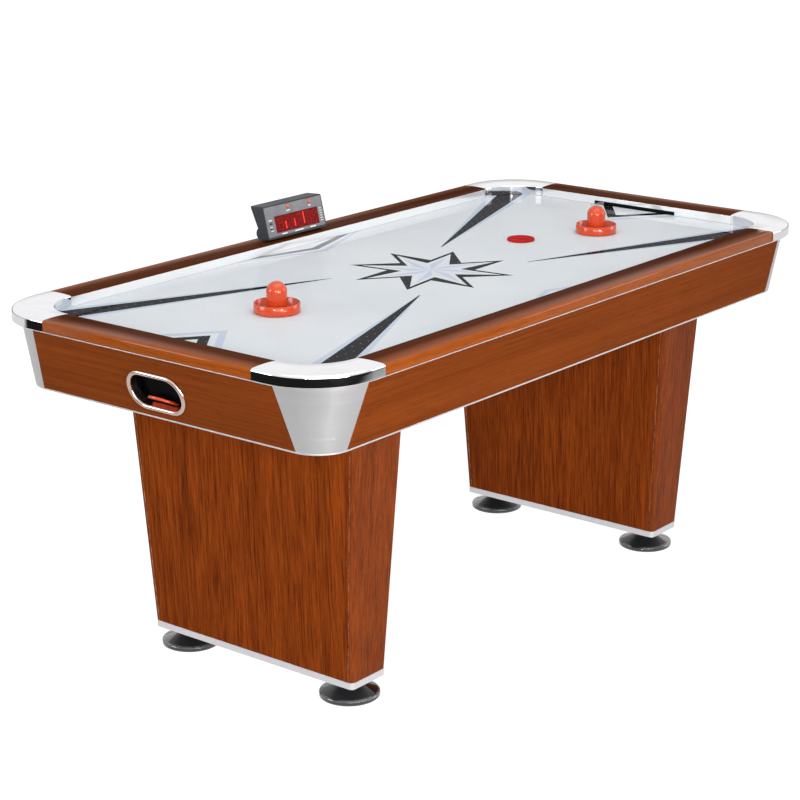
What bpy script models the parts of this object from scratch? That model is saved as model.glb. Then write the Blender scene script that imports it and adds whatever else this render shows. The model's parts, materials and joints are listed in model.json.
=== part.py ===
"""Home air hockey table: cabinet, rails, chrome corners, two pedestal legs, blower, score unit and playing pieces.

Metres. +X runs along the table, +Y across it, +Z up. The origin is on the floor under the table's centre.
West is the -X end, east the +X end, south the -Y side and north the +Y side.
"""

import math

import bmesh
import bpy
from mathutils import Matrix, Vector

# Cabinet outline
LENGTH = 1.829
WIDTH = 0.934
RAIL_WIDTH = 0.073
RAIL_INSET = 0.0008
PLAY_TOP = 0.7780
PLAY_THICK = 0.012
RAIL_OVER_X = 0.0116
RAIL_OVER_Y = 0.0083
LEAN_TOP = 0.7730
APRON_LOW = 0.6366
APRON_HIGH = 0.7766
APRON_THICK = 0.0124
APRON_TAPER_X = 0.299
APRON_TAPER_Y = 0.2917
GAP = 0.0004

# Corners
CAP_LEG = 0.180
CAP_OUTER_R = 0.1415
CAP_INNER_R = CAP_LEG - RAIL_WIDTH
CONE_SEAM_HIGH = 0.1290
CONE_SEAM_LOW = 0.0692
CONE_APEX_HIGH = 0.0645
CONE_APEX_LOW = 0.0292
CONE_WALL = 0.004
CONE_SPAN = LEAN_TOP - 0.6362

# Goals and puck return
SLOT_HALF = 0.1216
SLOT_HEIGHT = 0.010
SLOT_DEPTH = 0.0445
RING_Z = 0.6949
RING_STRAIGHT = 0.0345
RING_INNER_R = 0.0345
RING_OUTER_R = 0.0448

# Pedestal legs
LEG_LOW = 0.0570
LEG_HIGH = 0.6377
LEG_BASE_LOW = 0.0422
LEG_REF_LOW = 0.0422
LEG_REF_HIGH = 0.6418
LEG_OUTER_X = (0.6289, 0.6546)
LEG_INNER_X = (0.5211, 0.4960)
LEG_HALF_Y = (0.2846, 0.3217)
LEG_BOARD = 0.012
LEG_CORNER_R = 0.010
FOOT_X = 0.5741
FOOT_Y = 0.2309
FOOT_R = 0.065

# Score unit
SCORE_WIDTH = 0.206
SCORE_HEIGHT = 0.079
SCORE_DEPTH = 0.022
SCORE_FLARE = 0.016
SCORE_RISE = 0.0072
SCORE_TILT = math.radians(14.0)
SCORE_FRONT_Y = 0.4000
SCORE_BASE_Z = 0.8096
HINGE_V = 0.0175
HINGE_W = -0.0215
LOBE_R = 0.0155

# Playing pieces
MALLET_R = 0.050
MALLET_RING = 0.022
MALLET_TALL = 0.0671
KNOB_R = 0.0223
MALLET_WEST = (-0.4983, 0.0208)
MALLET_EAST = (0.5598, -0.0734)
PUCK_R = 0.033
PUCK_THICK = 0.0052
PUCK_AT = (0.376, 0.020)
RETURN_TILT = math.radians(27.0)
RETURN_PUCK_AT = (-0.8591, 0.002, 0.6715)

SIDES = {"west": -1, "east": 1}
LONG_SIDES = {"south": -1, "north": 1}
CORNERS = {"sw": (-1, -1), "se": (1, -1), "nw": (-1, 1), "ne": (1, 1)}


# ---------------------------------------------------------------- scene and materials


def clear_scene():
    for obj in list(bpy.data.objects):
        bpy.data.objects.remove(obj, do_unlink=True)


def make_collection(name, helper):
    group = bpy.data.collections.new(name)
    bpy.context.scene.collection.children.link(group)
    group.hide_render = helper
    return group


def make_material(name, colour, metallic, roughness):
    material = bpy.data.materials.new(name)
    material.use_nodes = True
    shader = material.node_tree.nodes["Principled BSDF"]
    shader.inputs["Base Color"].default_value = (*colour, 1.0)
    shader.inputs["Metallic"].default_value = metallic
    shader.inputs["Roughness"].default_value = roughness
    return material


FINISHES = {
    "wood": ((0.25, 0.07, 0.02), 0.0, 0.30),
    "leg_wood": ((0.22, 0.055, 0.012), 0.0, 0.35),
    "chrome": ((0.80, 0.80, 0.81), 1.0, 0.08),
    "aluminium": ((0.62, 0.61, 0.62), 1.0, 0.32),
    "white_board": ((0.64, 0.68, 0.70), 0.0, 0.12),
    "panel": ((0.30, 0.22, 0.15), 0.0, 0.70),
    "black_plastic": ((0.015, 0.015, 0.017), 0.0, 0.35),
    "foot_plastic": ((0.01, 0.01, 0.011), 0.0, 0.12),
    "ring_metal": ((0.72, 0.63, 0.55), 1.0, 0.15),
    "mallet_plastic": ((0.80, 0.10, 0.03), 0.0, 0.18),
    "puck_plastic": ((0.62, 0.02, 0.02), 0.0, 0.18),
    "charcoal": ((0.03, 0.032, 0.037), 0.0, 0.45),
    "grey_face": ((0.22, 0.22, 0.23), 0.0, 0.40),
    "red_window": ((0.30, 0.01, 0.01), 0.0, 0.10),
    "button": ((0.62, 0.20, 0.09), 0.0, 0.25),
    "steel": ((0.55, 0.55, 0.56), 1.0, 0.30),
}


def finish(bm, name, kind, group=None):
    """Turns a bmesh into a named object of its own with its own material."""
    bmesh.ops.remove_doubles(bm, verts=bm.verts, dist=1e-6)
    bmesh.ops.recalc_face_normals(bm, faces=bm.faces)
    mesh = bpy.data.meshes.new(name)
    bm.to_mesh(mesh)
    bm.free()
    obj = bpy.data.objects.new(name, mesh)
    if group is None:
        PARTS.objects.link(obj)
        mesh.materials.append(make_material(name, *FINISHES[kind]))
    else:
        group.objects.link(obj)
        obj.display_type = "WIRE"
        obj.hide_render = True
    return obj


def cut(obj, cutter):
    change(obj, cutter, "DIFFERENCE")


def join(obj, other):
    change(obj, other, "UNION")


def change(obj, other, operation):
    modifier = obj.modifiers.new(operation.lower(), "BOOLEAN")
    modifier.operation = operation
    modifier.object = other
    modifier.solver = "EXACT"


# ---------------------------------------------------------------- shape helpers


def block(low, high):
    """A box between two corners."""
    bm = bmesh.new()
    bmesh.ops.create_cube(bm, size=1.0)
    for vert in bm.verts:
        vert.co = Vector([high[i] if vert.co[i] > 0 else low[i] for i in range(3)])
    return bm


def tapered_block(low_rect, high_rect, low_z, high_z):
    """A box whose lower and upper faces are different rectangles (x0, x1, y0, y1)."""
    bm = bmesh.new()
    bmesh.ops.create_cube(bm, size=1.0)
    for vert in bm.verts:
        rect = high_rect if vert.co.z > 0 else low_rect
        x = rect[1] if vert.co.x > 0 else rect[0]
        y = rect[3] if vert.co.y > 0 else rect[2]
        vert.co = Vector((x, y, high_z if vert.co.z > 0 else low_z))
    return bm


def plate(half_x, half_y, low_z, high_z, radius, segments=12, centre=(0.0, 0.0)):
    """A flat plate with rounded vertical corners."""
    bm = block(
        (centre[0] - half_x, centre[1] - half_y, low_z),
        (centre[0] + half_x, centre[1] + half_y, high_z),
    )
    upright = [e for e in bm.edges if abs(e.verts[0].co.z - e.verts[1].co.z) > 1e-6]
    bmesh.ops.bevel(
        bm, geom=upright, offset=radius, segments=segments, affect="EDGES", profile=0.5, material=-1
    )
    return bm


def disc(radius, low_z, high_z, centre=(0.0, 0.0), segments=32):
    bm = bmesh.new()
    move = Matrix.Translation((centre[0], centre[1], (low_z + high_z) / 2))
    bmesh.ops.create_cone(
        bm, cap_ends=True, segments=segments, radius1=radius, radius2=radius,
        depth=high_z - low_z, matrix=move,
    )
    return bm


def lathe(profile, segments, centre=(0.0, 0.0, 0.0)):
    """Turns an (r, z) profile about a vertical axis. It closes on the axis, or on itself."""
    bm = bmesh.new()
    verts = [bm.verts.new((r, 0.0, z)) for r, z in profile]
    edges = [bm.edges.new(pair) for pair in zip(verts, verts[1:])]
    if profile[0][0] > 0 and profile[-1][0] > 0:
        edges.append(bm.edges.new((verts[-1], verts[0])))
    bmesh.ops.spin(
        bm, geom=verts + edges, cent=(0, 0, 0), axis=(0, 0, 1), angle=math.tau, steps=segments,
        use_duplicate=False,
    )
    bmesh.ops.remove_doubles(bm, verts=bm.verts, dist=1e-6)
    bmesh.ops.translate(bm, verts=bm.verts, vec=centre)
    return bm


def loft(sections, closed=False):
    """A skin through sections that have the same number of points, capped unless it closes on itself."""
    bm = bmesh.new()
    rows = [[bm.verts.new(point) for point in section] for section in sections]
    pairs = list(zip(rows, rows[1:]))
    if closed:
        pairs.append((rows[-1], rows[0]))
    count = len(rows[0])
    for first, second in pairs:
        for i in range(count):
            j = (i + 1) % count
            bm.faces.new((first[i], first[j], second[j], second[i]))
    if not closed:
        bm.faces.new(rows[0][::-1])
        bm.faces.new(rows[-1])
    return bm


def rounded_path(half_x, half_y, radius, segments=10):
    """Points and outward directions round a rounded rectangle."""
    path = []
    for start, (sx, sy) in enumerate(((1, 1), (-1, 1), (-1, -1), (1, -1))):
        centre = (sx * (half_x - radius), sy * (half_y - radius))
        for i in range(segments + 1):
            angle = math.pi / 2 * (start + i / segments)
            direction = (math.cos(angle), math.sin(angle))
            path.append((centre[0] + radius * direction[0], centre[1] + radius * direction[1], direction))
    return path


def frame_ring(half_x, half_y, radius, width, low_z, high_z):
    """A rectangular band that runs round the cabinet."""
    sections = []
    for x, y, (dx, dy) in rounded_path(half_x, half_y, radius):
        inner = (x - width * dx, y - width * dy)
        sections.append(
            [(x, y, low_z), (x, y, high_z), (*inner, high_z), (*inner, low_z)]
        )
    return loft(sections, closed=True)


def move(bm, matrix):
    bmesh.ops.transform(bm, matrix=matrix, verts=bm.verts)
    return bm


def lean(z):
    """How far down the apron's slope a height is."""
    return LEAN_TOP - z


def apron_x(z):
    return LENGTH / 2 - RAIL_OVER_X - APRON_TAPER_X * lean(z)


def apron_y(z):
    return WIDTH / 2 - RAIL_OVER_Y - APRON_TAPER_Y * lean(z)


def along_cone(high, low, z):
    return high + (low - high) * lean(z) / CONE_SPAN


def seam(z):
    return along_cone(CONE_SEAM_HIGH, CONE_SEAM_LOW, z)


# ---------------------------------------------------------------- cabinet


def playfield():
    panel = finish(
        plate(0.8876, 0.4436, PLAY_TOP - PLAY_THICK, PLAY_TOP, 0.140, 12), "playfield_panel", "white_board"
    )
    for name, side in SIDES.items():
        wall = side * (LENGTH / 2 - RAIL_WIDTH)
        xs = sorted((wall + side * 0.0045, wall + side * 0.050))
        notch = block((xs[0], -SLOT_HALF, PLAY_TOP - 0.02), (xs[1], SLOT_HALF, PLAY_TOP + 0.01))
        cut(panel, finish(notch, "drop_notch_" + name, None, CUTTERS))


def bottom_panel():
    panel = finish(plate(0.8492, 0.4060, 0.6381, 0.6501, 0.060, 8), "bottom_panel", "panel")
    cut(panel, finish(disc(0.052, 0.630, 0.670), "intake_hole", None, CUTTERS))


def stadium(radius, low_w, high_w, segments=12):
    """A slab with semicircular ends, u by v by w."""
    outline = []
    for centre, start in ((RING_STRAIGHT, -math.pi / 2), (-RING_STRAIGHT, math.pi / 2)):
        for i in range(segments + 1):
            angle = start + math.pi * i / segments
            outline.append((centre + radius * math.cos(angle), radius * math.sin(angle)))
    return loft([[(u, v, w) for u, v in outline] for w in (low_w, high_w)])


def end_matrix(side):
    """Local u, v, w of an end apron: u across the table, v up the slope, w straight out of it."""
    slope = math.atan(APRON_TAPER_X)
    across = Vector((0, side, 0))
    up = Vector((side * math.sin(slope), 0, math.cos(slope)))
    out = Vector((side * math.cos(slope), 0, -math.sin(slope)))
    return local_frame(across, up, out, (side * apron_x(RING_Z), 0, RING_Z))


def back_matrix(x, z):
    """Local u, v, w of the north apron."""
    slope = math.atan(APRON_TAPER_Y)
    across = Vector((-1, 0, 0))
    up = Vector((0, math.sin(slope), math.cos(slope)))
    out = Vector((0, math.cos(slope), -math.sin(slope)))
    return local_frame(across, up, out, (x, apron_y(z), z))


def local_frame(across, up, out, origin):
    matrix = Matrix((across, up, out)).transposed().to_4x4()
    matrix.translation = Vector(origin)
    return matrix


def aprons():
    low, high = APRON_LOW, APRON_HIGH
    for name, side in SIDES.items():
        rects = []
        for z in (low, high):
            xs = sorted((side * apron_x(z), side * (apron_x(z) - APRON_THICK)))
            half = apron_y(z) - seam(z) - GAP
            rects.append((*xs, -half, half))
        board = finish(tapered_block(*rects, low, high), "apron_" + name, "wood")
        hole = move(stadium(RING_INNER_R + 0.0022, -0.04, 0.04), end_matrix(side))
        cut(board, finish(hole, "return_hole_" + name, None, CUTTERS))
    for name, side in LONG_SIDES.items():
        rects = []
        for z in (low, high):
            ys = sorted((side * apron_y(z), side * (apron_y(z) - APRON_THICK)))
            half = apron_x(z) - seam(z) - GAP
            rects.append((-half, half, *ys))
        board = finish(tapered_block(*rects, low, high), "apron_" + name, "wood")
        if name == "north":
            hole = move(block((-0.0266, -0.0126, -0.04), (0.0266, 0.0126, 0.04)), POWER_AT)
            cut(board, finish(hole, "power_hole", None, CUTTERS))


def cone_arc(z, inset, segments=12):
    """The corner's plan outline at a height: an arc between the two apron seams."""
    reach = seam(z)
    apex = along_cone(CONE_APEX_HIGH, CONE_APEX_LOW, z)
    half_chord = reach / math.sqrt(2)
    rise = half_chord - apex
    radius = (half_chord**2 + rise**2) / (2 * rise)
    centre = apron_x(z), apron_y(z)
    from_corner = (apex + radius) / math.sqrt(2)
    reach_out = radius - inset
    turn = math.acos((from_corner - reach) / reach_out) - math.pi / 4
    points = []
    for i in range(segments + 1):
        angle = math.pi / 4 + turn * (2 * i / segments - 1)
        x = centre[0] - from_corner + reach_out * math.cos(angle)
        y = centre[1] - from_corner + reach_out * math.sin(angle)
        points.append((x, y, z))
    return points


def corner_cones():
    for name, (sx, sy) in CORNERS.items():
        sections = []
        for z in (APRON_LOW, APRON_HIGH):
            loop = cone_arc(z, 0.0) + cone_arc(z, CONE_WALL)[::-1]
            sections.append([(sx * x, sy * y, height) for x, y, height in loop])
        finish(loft(sections), "corner_cone_" + name, "aluminium")


def cap_paths(count=20):
    """Matching points along a corner cap's outer and inner edges, from the long side round to the end."""
    corner = (LENGTH / 2, WIDTH / 2)
    centre = (corner[0] - CAP_OUTER_R, corner[1] - CAP_OUTER_R)
    straight = CAP_LEG - CAP_OUTER_R
    total = 2 * straight + CAP_OUTER_R * math.pi / 2
    pairs = []
    for i in range(count + 1):
        run = total * i / count
        if run <= straight:
            outer = (corner[0] - CAP_LEG + run, corner[1])
        elif run >= total - straight:
            outer = (corner[0], corner[1] - CAP_LEG + total - run)
        else:
            angle = math.pi / 2 - (run - straight) / CAP_OUTER_R
            outer = (centre[0] + CAP_OUTER_R * math.cos(angle), centre[1] + CAP_OUTER_R * math.sin(angle))
        turn = math.pi / 2 * (1 - i / count)
        inner = (
            corner[0] - CAP_LEG + CAP_INNER_R * math.cos(turn),
            corner[1] - CAP_LEG + CAP_INNER_R * math.sin(turn),
        )
        pairs.append((outer, inner))
    return pairs


CAP_PROFILE = (
    (0.0, 0.7790),
    (0.0, 0.7985),
    (0.0012, 0.8008),
    (0.0038, 0.8021),
    (0.014, 0.8031),
    (0.032, 0.8036),
    (0.058, 0.8035),
    (0.068, 0.8029),
    (0.0718, 0.8015),
    (0.0730, 0.7990),
    (0.0730, 0.7786),
    (0.0680, 0.7786),
    (0.0680, 0.7790),
)

RAIL_PROFILE = (
    (0.0, 0.7790),
    (0.0, 0.7964),
    (0.0006, 0.7990),
    (0.0022, 0.8012),
    (0.0052, 0.8024),
    (0.018, 0.8030),
    (0.040, 0.8033),
    (0.060, 0.8030),
    (0.0680, 0.8024),
    (0.0712, 0.8014),
    (0.0722, 0.8002),
    (0.0722, 0.7992),
    (0.0689, 0.7992),
    (0.0689, 0.7790),
)


def corner_caps():
    for name, (sx, sy) in CORNERS.items():
        sections = []
        for outer, inner in cap_paths():
            section = []
            for depth, z in CAP_PROFILE:
                share = depth / RAIL_WIDTH
                x = outer[0] + (inner[0] - outer[0]) * share
                y = outer[1] + (inner[1] - outer[1]) * share
                section.append((sx * x, sy * y, z))
            sections.append(section)
        finish(loft(sections), "corner_cap_" + name, "chrome")


def rails():
    half_long = LENGTH / 2 - CAP_LEG - GAP
    half_short = WIDTH / 2 - CAP_LEG - GAP
    for name, side in LONG_SIDES.items():
        sections = []
        for x in (-half_long, half_long):
            edge = WIDTH / 2 - RAIL_INSET
            sections.append([(x, side * (edge - depth), z) for depth, z in RAIL_PROFILE])
        finish(loft(sections), "rail_" + name, "wood")
    for name, side in SIDES.items():
        sections = []
        for y in (-half_short, half_short):
            edge = LENGTH / 2 - RAIL_INSET
            sections.append([(side * (edge - depth), y, z) for depth, z in RAIL_PROFILE])
        rail = finish(loft(sections), "rail_" + name, "wood")
        wall = side * (LENGTH / 2 - RAIL_WIDTH)
        xs = sorted((wall - side * 0.01, wall + side * SLOT_DEPTH))
        mouth = block((xs[0], -SLOT_HALF, PLAY_TOP - 0.02), (xs[1], SLOT_HALF, PLAY_TOP + SLOT_HEIGHT))
        cut(rail, finish(mouth, "goal_mouth_" + name, None, CUTTERS))


def wall_liners():
    low, high = PLAY_TOP + 0.0006, 0.7989
    near, far = 0.0003, 0.0032
    half_long = LENGTH / 2 - CAP_LEG - GAP
    half_short = WIDTH / 2 - CAP_LEG - GAP
    for name, side in LONG_SIDES.items():
        wall = WIDTH / 2 - RAIL_WIDTH
        ys = sorted((side * (wall + near), side * (wall + far)))
        finish(block((-half_long, ys[0], low), (half_long, ys[1], high)), "liner_" + name, "white_board")
    for name, side in SIDES.items():
        wall = LENGTH / 2 - RAIL_WIDTH
        xs = sorted((side * (wall + near), side * (wall + far)))
        strip = block((xs[0], -half_short, low), (xs[1], half_short, high))
        liner = finish(strip, "liner_" + name, "white_board")
        mouth = block(
            (min(xs) - 0.01, -SLOT_HALF, low - 0.01), (max(xs) + 0.01, SLOT_HALF, PLAY_TOP + SLOT_HEIGHT)
        )
        cut(liner, finish(mouth, "liner_mouth_" + name, None, CUTTERS))


def trims():
    top = frame_ring(LENGTH / 2 - 0.0002, WIDTH / 2 - 0.0002, 0.150, 0.015, 0.7770, 0.7786)
    finish(top, "rail_trim", "aluminium")
    low = 0.6332
    base = frame_ring(apron_x(low) + 0.001, apron_y(low) + 0.001, 0.072, 0.0125, low, 0.6362)
    finish(base, "apron_trim", "aluminium")


# ---------------------------------------------------------------- puck return


def return_cups():
    low, high = 0.6505, 0.7655
    wall = 0.003
    base = 0.0018
    for name, side in SIDES.items():
        rects = []
        inner_rects = []
        for z in (low, high):
            face = apron_x(z) - APRON_THICK - 0.0006
            rects.append((*sorted((side * 0.800, side * face)), -0.1250, 0.1250))
            inner_rects.append((*sorted((side * 0.803, side * (face - wall))), -0.1220, 0.1220))
        cup = finish(tapered_block(*rects, low, high), "return_cup_" + name, "black_plastic")
        hollow = tapered_block(*inner_rects, low + base, high - wall)
        cut(cup, finish(hollow, "cup_hollow_" + name, None, CUTTERS))
        xs = sorted((side * 0.8465, side * 0.8845))
        drop = block((xs[0], -0.1200, high - 0.01), (xs[1], 0.1200, high + 0.01))
        cut(cup, finish(drop, "cup_drop_" + name, None, CUTTERS))
        window = move(stadium(RING_INNER_R + 0.0030, -0.030, 0.005), end_matrix(side))
        cut(cup, finish(window, "cup_window_" + name, None, CUTTERS))


def return_rings():
    """A bead round the opening with a sleeve through the board."""
    bead = (
        (RING_INNER_R, -0.0115),
        (RING_INNER_R, 0.0030),
        (RING_INNER_R + 0.0014, 0.0056),
        (RING_INNER_R + 0.0040, 0.0068),
        (RING_INNER_R + 0.0070, 0.0058),
        (RING_OUTER_R - 0.0010, 0.0030),
        (RING_OUTER_R, 0.0004),
        (RING_INNER_R + 0.0016, 0.0004),
        (RING_INNER_R + 0.0016, -0.0115),
    )
    for name, side in SIDES.items():
        sections = []
        for centre, start in ((RING_STRAIGHT, -math.pi / 2), (-RING_STRAIGHT, math.pi / 2)):
            for i in range(13):
                angle = start + math.pi * i / 12
                sections.append(
                    [(centre + r * math.cos(angle), r * math.sin(angle), w) for r, w in bead]
                )
        ring = move(loft(sections, closed=True), end_matrix(side))
        finish(ring, "return_ring_" + name, "ring_metal")


# ---------------------------------------------------------------- pedestal legs


def leg_size(pair, z):
    share = (z - LEG_REF_LOW) / (LEG_REF_HIGH - LEG_REF_LOW)
    return pair[0] + (pair[1] - pair[0]) * share


def edge_board_section(side, facing, z):
    """The leg's narrow board in plan: its two outside corners are rounded."""
    outer = leg_size(LEG_OUTER_X, z)
    inner = leg_size(LEG_INNER_X, z)
    face = leg_size(LEG_HALF_Y, z)
    radius = LEG_CORNER_R
    points = [(inner, face - LEG_BOARD), (inner, face - radius)]
    for i in range(1, 6):
        angle = math.pi - math.pi / 2 * i / 6
        points.append((inner + radius + radius * math.cos(angle), face - radius + radius * math.sin(angle)))
    points.append((inner + radius, face))
    points.append((outer - radius, face))
    for i in range(1, 6):
        angle = math.pi / 2 * (1 - i / 6)
        points.append((outer - radius + radius * math.cos(angle), face - radius + radius * math.sin(angle)))
    points.append((outer, face - radius))
    points.append((outer, face - LEG_BOARD))
    return [(side * x, facing * y, z) for x, y in points]


def leg_wide_board(side, pair, inward):
    rects = []
    for z in (LEG_LOW, LEG_HIGH):
        face = leg_size(pair, z)
        half = leg_size(LEG_HALF_Y, z) - LEG_BOARD - GAP
        rects.append((*sorted((side * face, side * (face + inward * LEG_BOARD))), -half, half))
    return tapered_block(*rects, LEG_LOW, LEG_HIGH)


def legs():
    for name, side in SIDES.items():
        for facing_name, facing in LONG_SIDES.items():
            sections = [edge_board_section(side, facing, z) for z in (LEG_LOW, LEG_HIGH)]
            finish(loft(sections), f"leg_{name}_{facing_name}", "leg_wood")
        finish(leg_wide_board(side, LEG_OUTER_X, -1), f"leg_{name}_outer", "leg_wood")
        finish(leg_wide_board(side, LEG_INNER_X, 1), f"leg_{name}_inner", "leg_wood")
        z = LEG_BASE_LOW + 0.007
        middle = side * (leg_size(LEG_OUTER_X, z) + leg_size(LEG_INNER_X, z)) / 2
        half_x = (leg_size(LEG_OUTER_X, z) - leg_size(LEG_INNER_X, z)) / 2 + 0.0006
        half_y = leg_size(LEG_HALF_Y, z) + 0.0006
        board = plate(half_x, half_y, LEG_BASE_LOW, LEG_LOW - GAP, 0.010, 6, (middle, 0.0))
        base = finish(board, f"leg_{name}_base", "aluminium")
        for facing_name, facing in LONG_SIDES.items():
            hole = disc(0.0056, 0.03, 0.07, (side * FOOT_X, facing * FOOT_Y), 24)
            cut(base, finish(hole, f"stud_hole_{name}_{facing_name}", None, CUTTERS))


FOOT_PROFILE = (
    (0.0, 0.0),
    (0.0630, 0.0),
    (0.0650, 0.0020),
    (0.0650, 0.0088),
    (0.0638, 0.0110),
    (0.0615, 0.0119),
    (0.0560, 0.0140),
    (0.0190, 0.0300),
    (0.0150, 0.0414),
    (0.0050, 0.0414),
    (0.0050, 0.0850),
    (0.0, 0.0850),
)


def feet():
    for name, (sx, sy) in CORNERS.items():
        finish(lathe(FOOT_PROFILE, 30, (sx * FOOT_X, sy * FOOT_Y, 0.0)), "foot_" + name, "foot_plastic")


# ---------------------------------------------------------------- blower and power


def blower():
    barrel = (
        (0.0620, 0.6507),
        (0.0760, 0.6507),
        (0.0760, 0.6539),
        (0.0660, 0.6539),
        (0.0660, 0.7107),
        (0.0620, 0.7107),
    )
    housing = finish(lathe(barrel, 40), "blower_housing", "black_plastic")
    join(housing, finish(disc(0.028, 0.7039, 0.7107, (0, 0), 28), "spider_hub", None, CUTTERS))
    for i in range(3):
        arm = block((0.020, -0.006, 0.7039), (0.0640, 0.006, 0.7107))
        arm = move(arm, Matrix.Rotation(math.tau * i / 3, 4, "Z"))
        join(housing, finish(arm, f"spider_arm_{i}", None, CUTTERS))
    motor = (
        (0.0, 0.6579),
        (0.0025, 0.6579),
        (0.0025, 0.6719),
        (0.0090, 0.6719),
        (0.0090, 0.6749),
        (0.0240, 0.6749),
        (0.0260, 0.6769),
        (0.0260, 0.7019),
        (0.0240, 0.7035),
        (0.0, 0.7035),
    )
    finish(lathe(motor, 28), "blower_motor", "steel")
    hub = (
        (0.0, 0.6539),
        (0.0150, 0.6539),
        (0.0180, 0.6564),
        (0.0180, 0.6689),
        (0.0026, 0.6689),
        (0.0026, 0.6569),
        (0.0, 0.6569),
    )
    impeller = finish(lathe(hub, 28), "blower_impeller", "black_plastic")
    for i in range(7):
        blade = block((0.0165, -0.0010, -0.0070), (0.0580, 0.0010, 0.0070))
        blade = move(blade, Matrix.Rotation(math.radians(48), 4, "X"))
        blade = move(blade, Matrix.Translation((0, 0, 0.6624)))
        blade = move(blade, Matrix.Rotation(math.tau * i / 7, 4, "Z"))
        join(impeller, finish(blade, f"fan_blade_{i}", None, CUTTERS))
    rim = ((0.0540, 0.6334), (0.0640, 0.6334), (0.0640, 0.6377), (0.0540, 0.6377))
    guard = finish(lathe(rim, 36), "intake_guard", "black_plastic")
    for i in range(4):
        bar = block((-0.0580, -0.0013, 0.6339), (0.0580, 0.0013, 0.6369))
        bar = move(bar, Matrix.Rotation(math.pi * i / 4, 4, "Z"))
        join(guard, finish(bar, f"guard_bar_{i}", None, CUTTERS))


def power_panel():
    """Switch and supply socket let into the north apron."""
    bezel = plate(0.0310, 0.0165, 0.0004, 0.0030, 0.004, 4)
    panel = finish(move(bezel, POWER_AT), "power_panel", "black_plastic")
    body = move(block((-0.0260, -0.0120, -0.0220), (0.0260, 0.0120, 0.0010)), POWER_AT)
    join(panel, finish(body, "power_body", None, CUTTERS))
    pocket = move(block((0.0030, -0.0111, -0.0120), (0.0180, 0.0111, 0.0100)), POWER_AT)
    cut(panel, finish(pocket, "rocker_pocket", None, CUTTERS))
    bore = move(disc(0.0062, -0.0170, 0.0100, (-0.0125, 0.0), 24), POWER_AT)
    cut(panel, finish(bore, "socket_bore", None, CUTTERS))
    rocker = plate(0.0070, 0.0102, -0.0060, 0.0050, 0.0010, 2, (0.0, 0.0))
    rocker = move(rocker, Matrix.Rotation(-ROCKER_TILT, 4, "X"))
    rocker = move(rocker, Matrix.Translation((0.0105, 0.0, 0.0)))
    finish(move(rocker, POWER_AT), "power_rocker", "black_plastic")
    socket = (
        (0.0, -0.0166),
        (0.0058, -0.0166),
        (0.0058, 0.0034),
        (0.0034, 0.0034),
        (0.0034, -0.0100),
        (0.0010, -0.0100),
        (0.0010, 0.0010),
        (0.0, 0.0010),
    )
    jack = lathe(socket, 24, (-0.0125, 0.0, 0.0))
    finish(move(jack, POWER_AT), "power_socket", "black_plastic")


# ---------------------------------------------------------------- score unit


def score_matrix():
    """Local u, v, w of the score unit: u along the rail, v up its face, w out of its face."""
    up = Vector((0, math.sin(SCORE_TILT), math.cos(SCORE_TILT)))
    out = Vector((0, -math.cos(SCORE_TILT), math.sin(SCORE_TILT)))
    return local_frame(Vector((1, 0, 0)), up, out, (0, SCORE_FRONT_Y, SCORE_BASE_Z))


def hinge_matrix():
    """Turns the Z axis onto the score unit's hinge axis, which runs along the rail."""
    place = score_matrix() @ Vector((0, HINGE_V, HINGE_W))
    return Matrix.Translation(place) @ Matrix.Rotation(math.pi / 2, 4, "Y")


def score_box(half_u, low_v, high_v, low_w, high_w, radius, centre_u=0.0):
    """A box on the score unit, with corners rounded in its face."""
    middle = (low_v + high_v) / 2
    shape = plate(half_u, (high_v - low_v) / 2, low_w, high_w, radius, 4, (centre_u, middle))
    return move(shape, SCORE_AT)


def score_case():
    half = SCORE_WIDTH / 2
    shell = plate(half, SCORE_HEIGHT / 2, -SCORE_DEPTH, 0.0, 0.004, 4, (0.0, SCORE_HEIGHT / 2))
    for vert in shell.verts:
        if vert.co.z < -SCORE_DEPTH / 2:
            share = vert.co.y / SCORE_HEIGHT
            vert.co.z -= SCORE_FLARE * share
            vert.co.y += SCORE_RISE * share
    case = finish(move(shell, SCORE_AT), "score_case", "charcoal")
    seat = score_box(half - 0.002, 0.0045, SCORE_HEIGHT - 0.003, -0.0024, 0.01, 0.003)
    cut(case, finish(seat, "face_seat", None, CUTTERS))
    for name, u in BUTTONS.items():
        well = move(disc(0.0062, -0.0110, 0.01, (u, BUTTON_V), 24), SCORE_AT)
        cut(case, finish(well, "button_well_" + name, None, CUTTERS))
    for name, low in (("left", -half + 0.0004), ("right", 0.0310)):
        lobe = move(disc(LOBE_R, low, low + half - 0.0314, (0, 0), 32), HINGE_AT)
        join(case, finish(lobe, "lobe_" + name, None, CUTTERS))
    notch = move(block((-0.0275, -0.010, -0.040), (0.0275, 0.036, -0.0130)), SCORE_AT)
    cut(case, finish(notch, "bracket_notch", None, CUTTERS))
    pin_bore = move(disc(0.0032, -0.0960, 0.0960, (0, 0), 24), HINGE_AT)
    cut(case, finish(pin_bore, "hinge_bore", None, CUTTERS))


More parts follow.
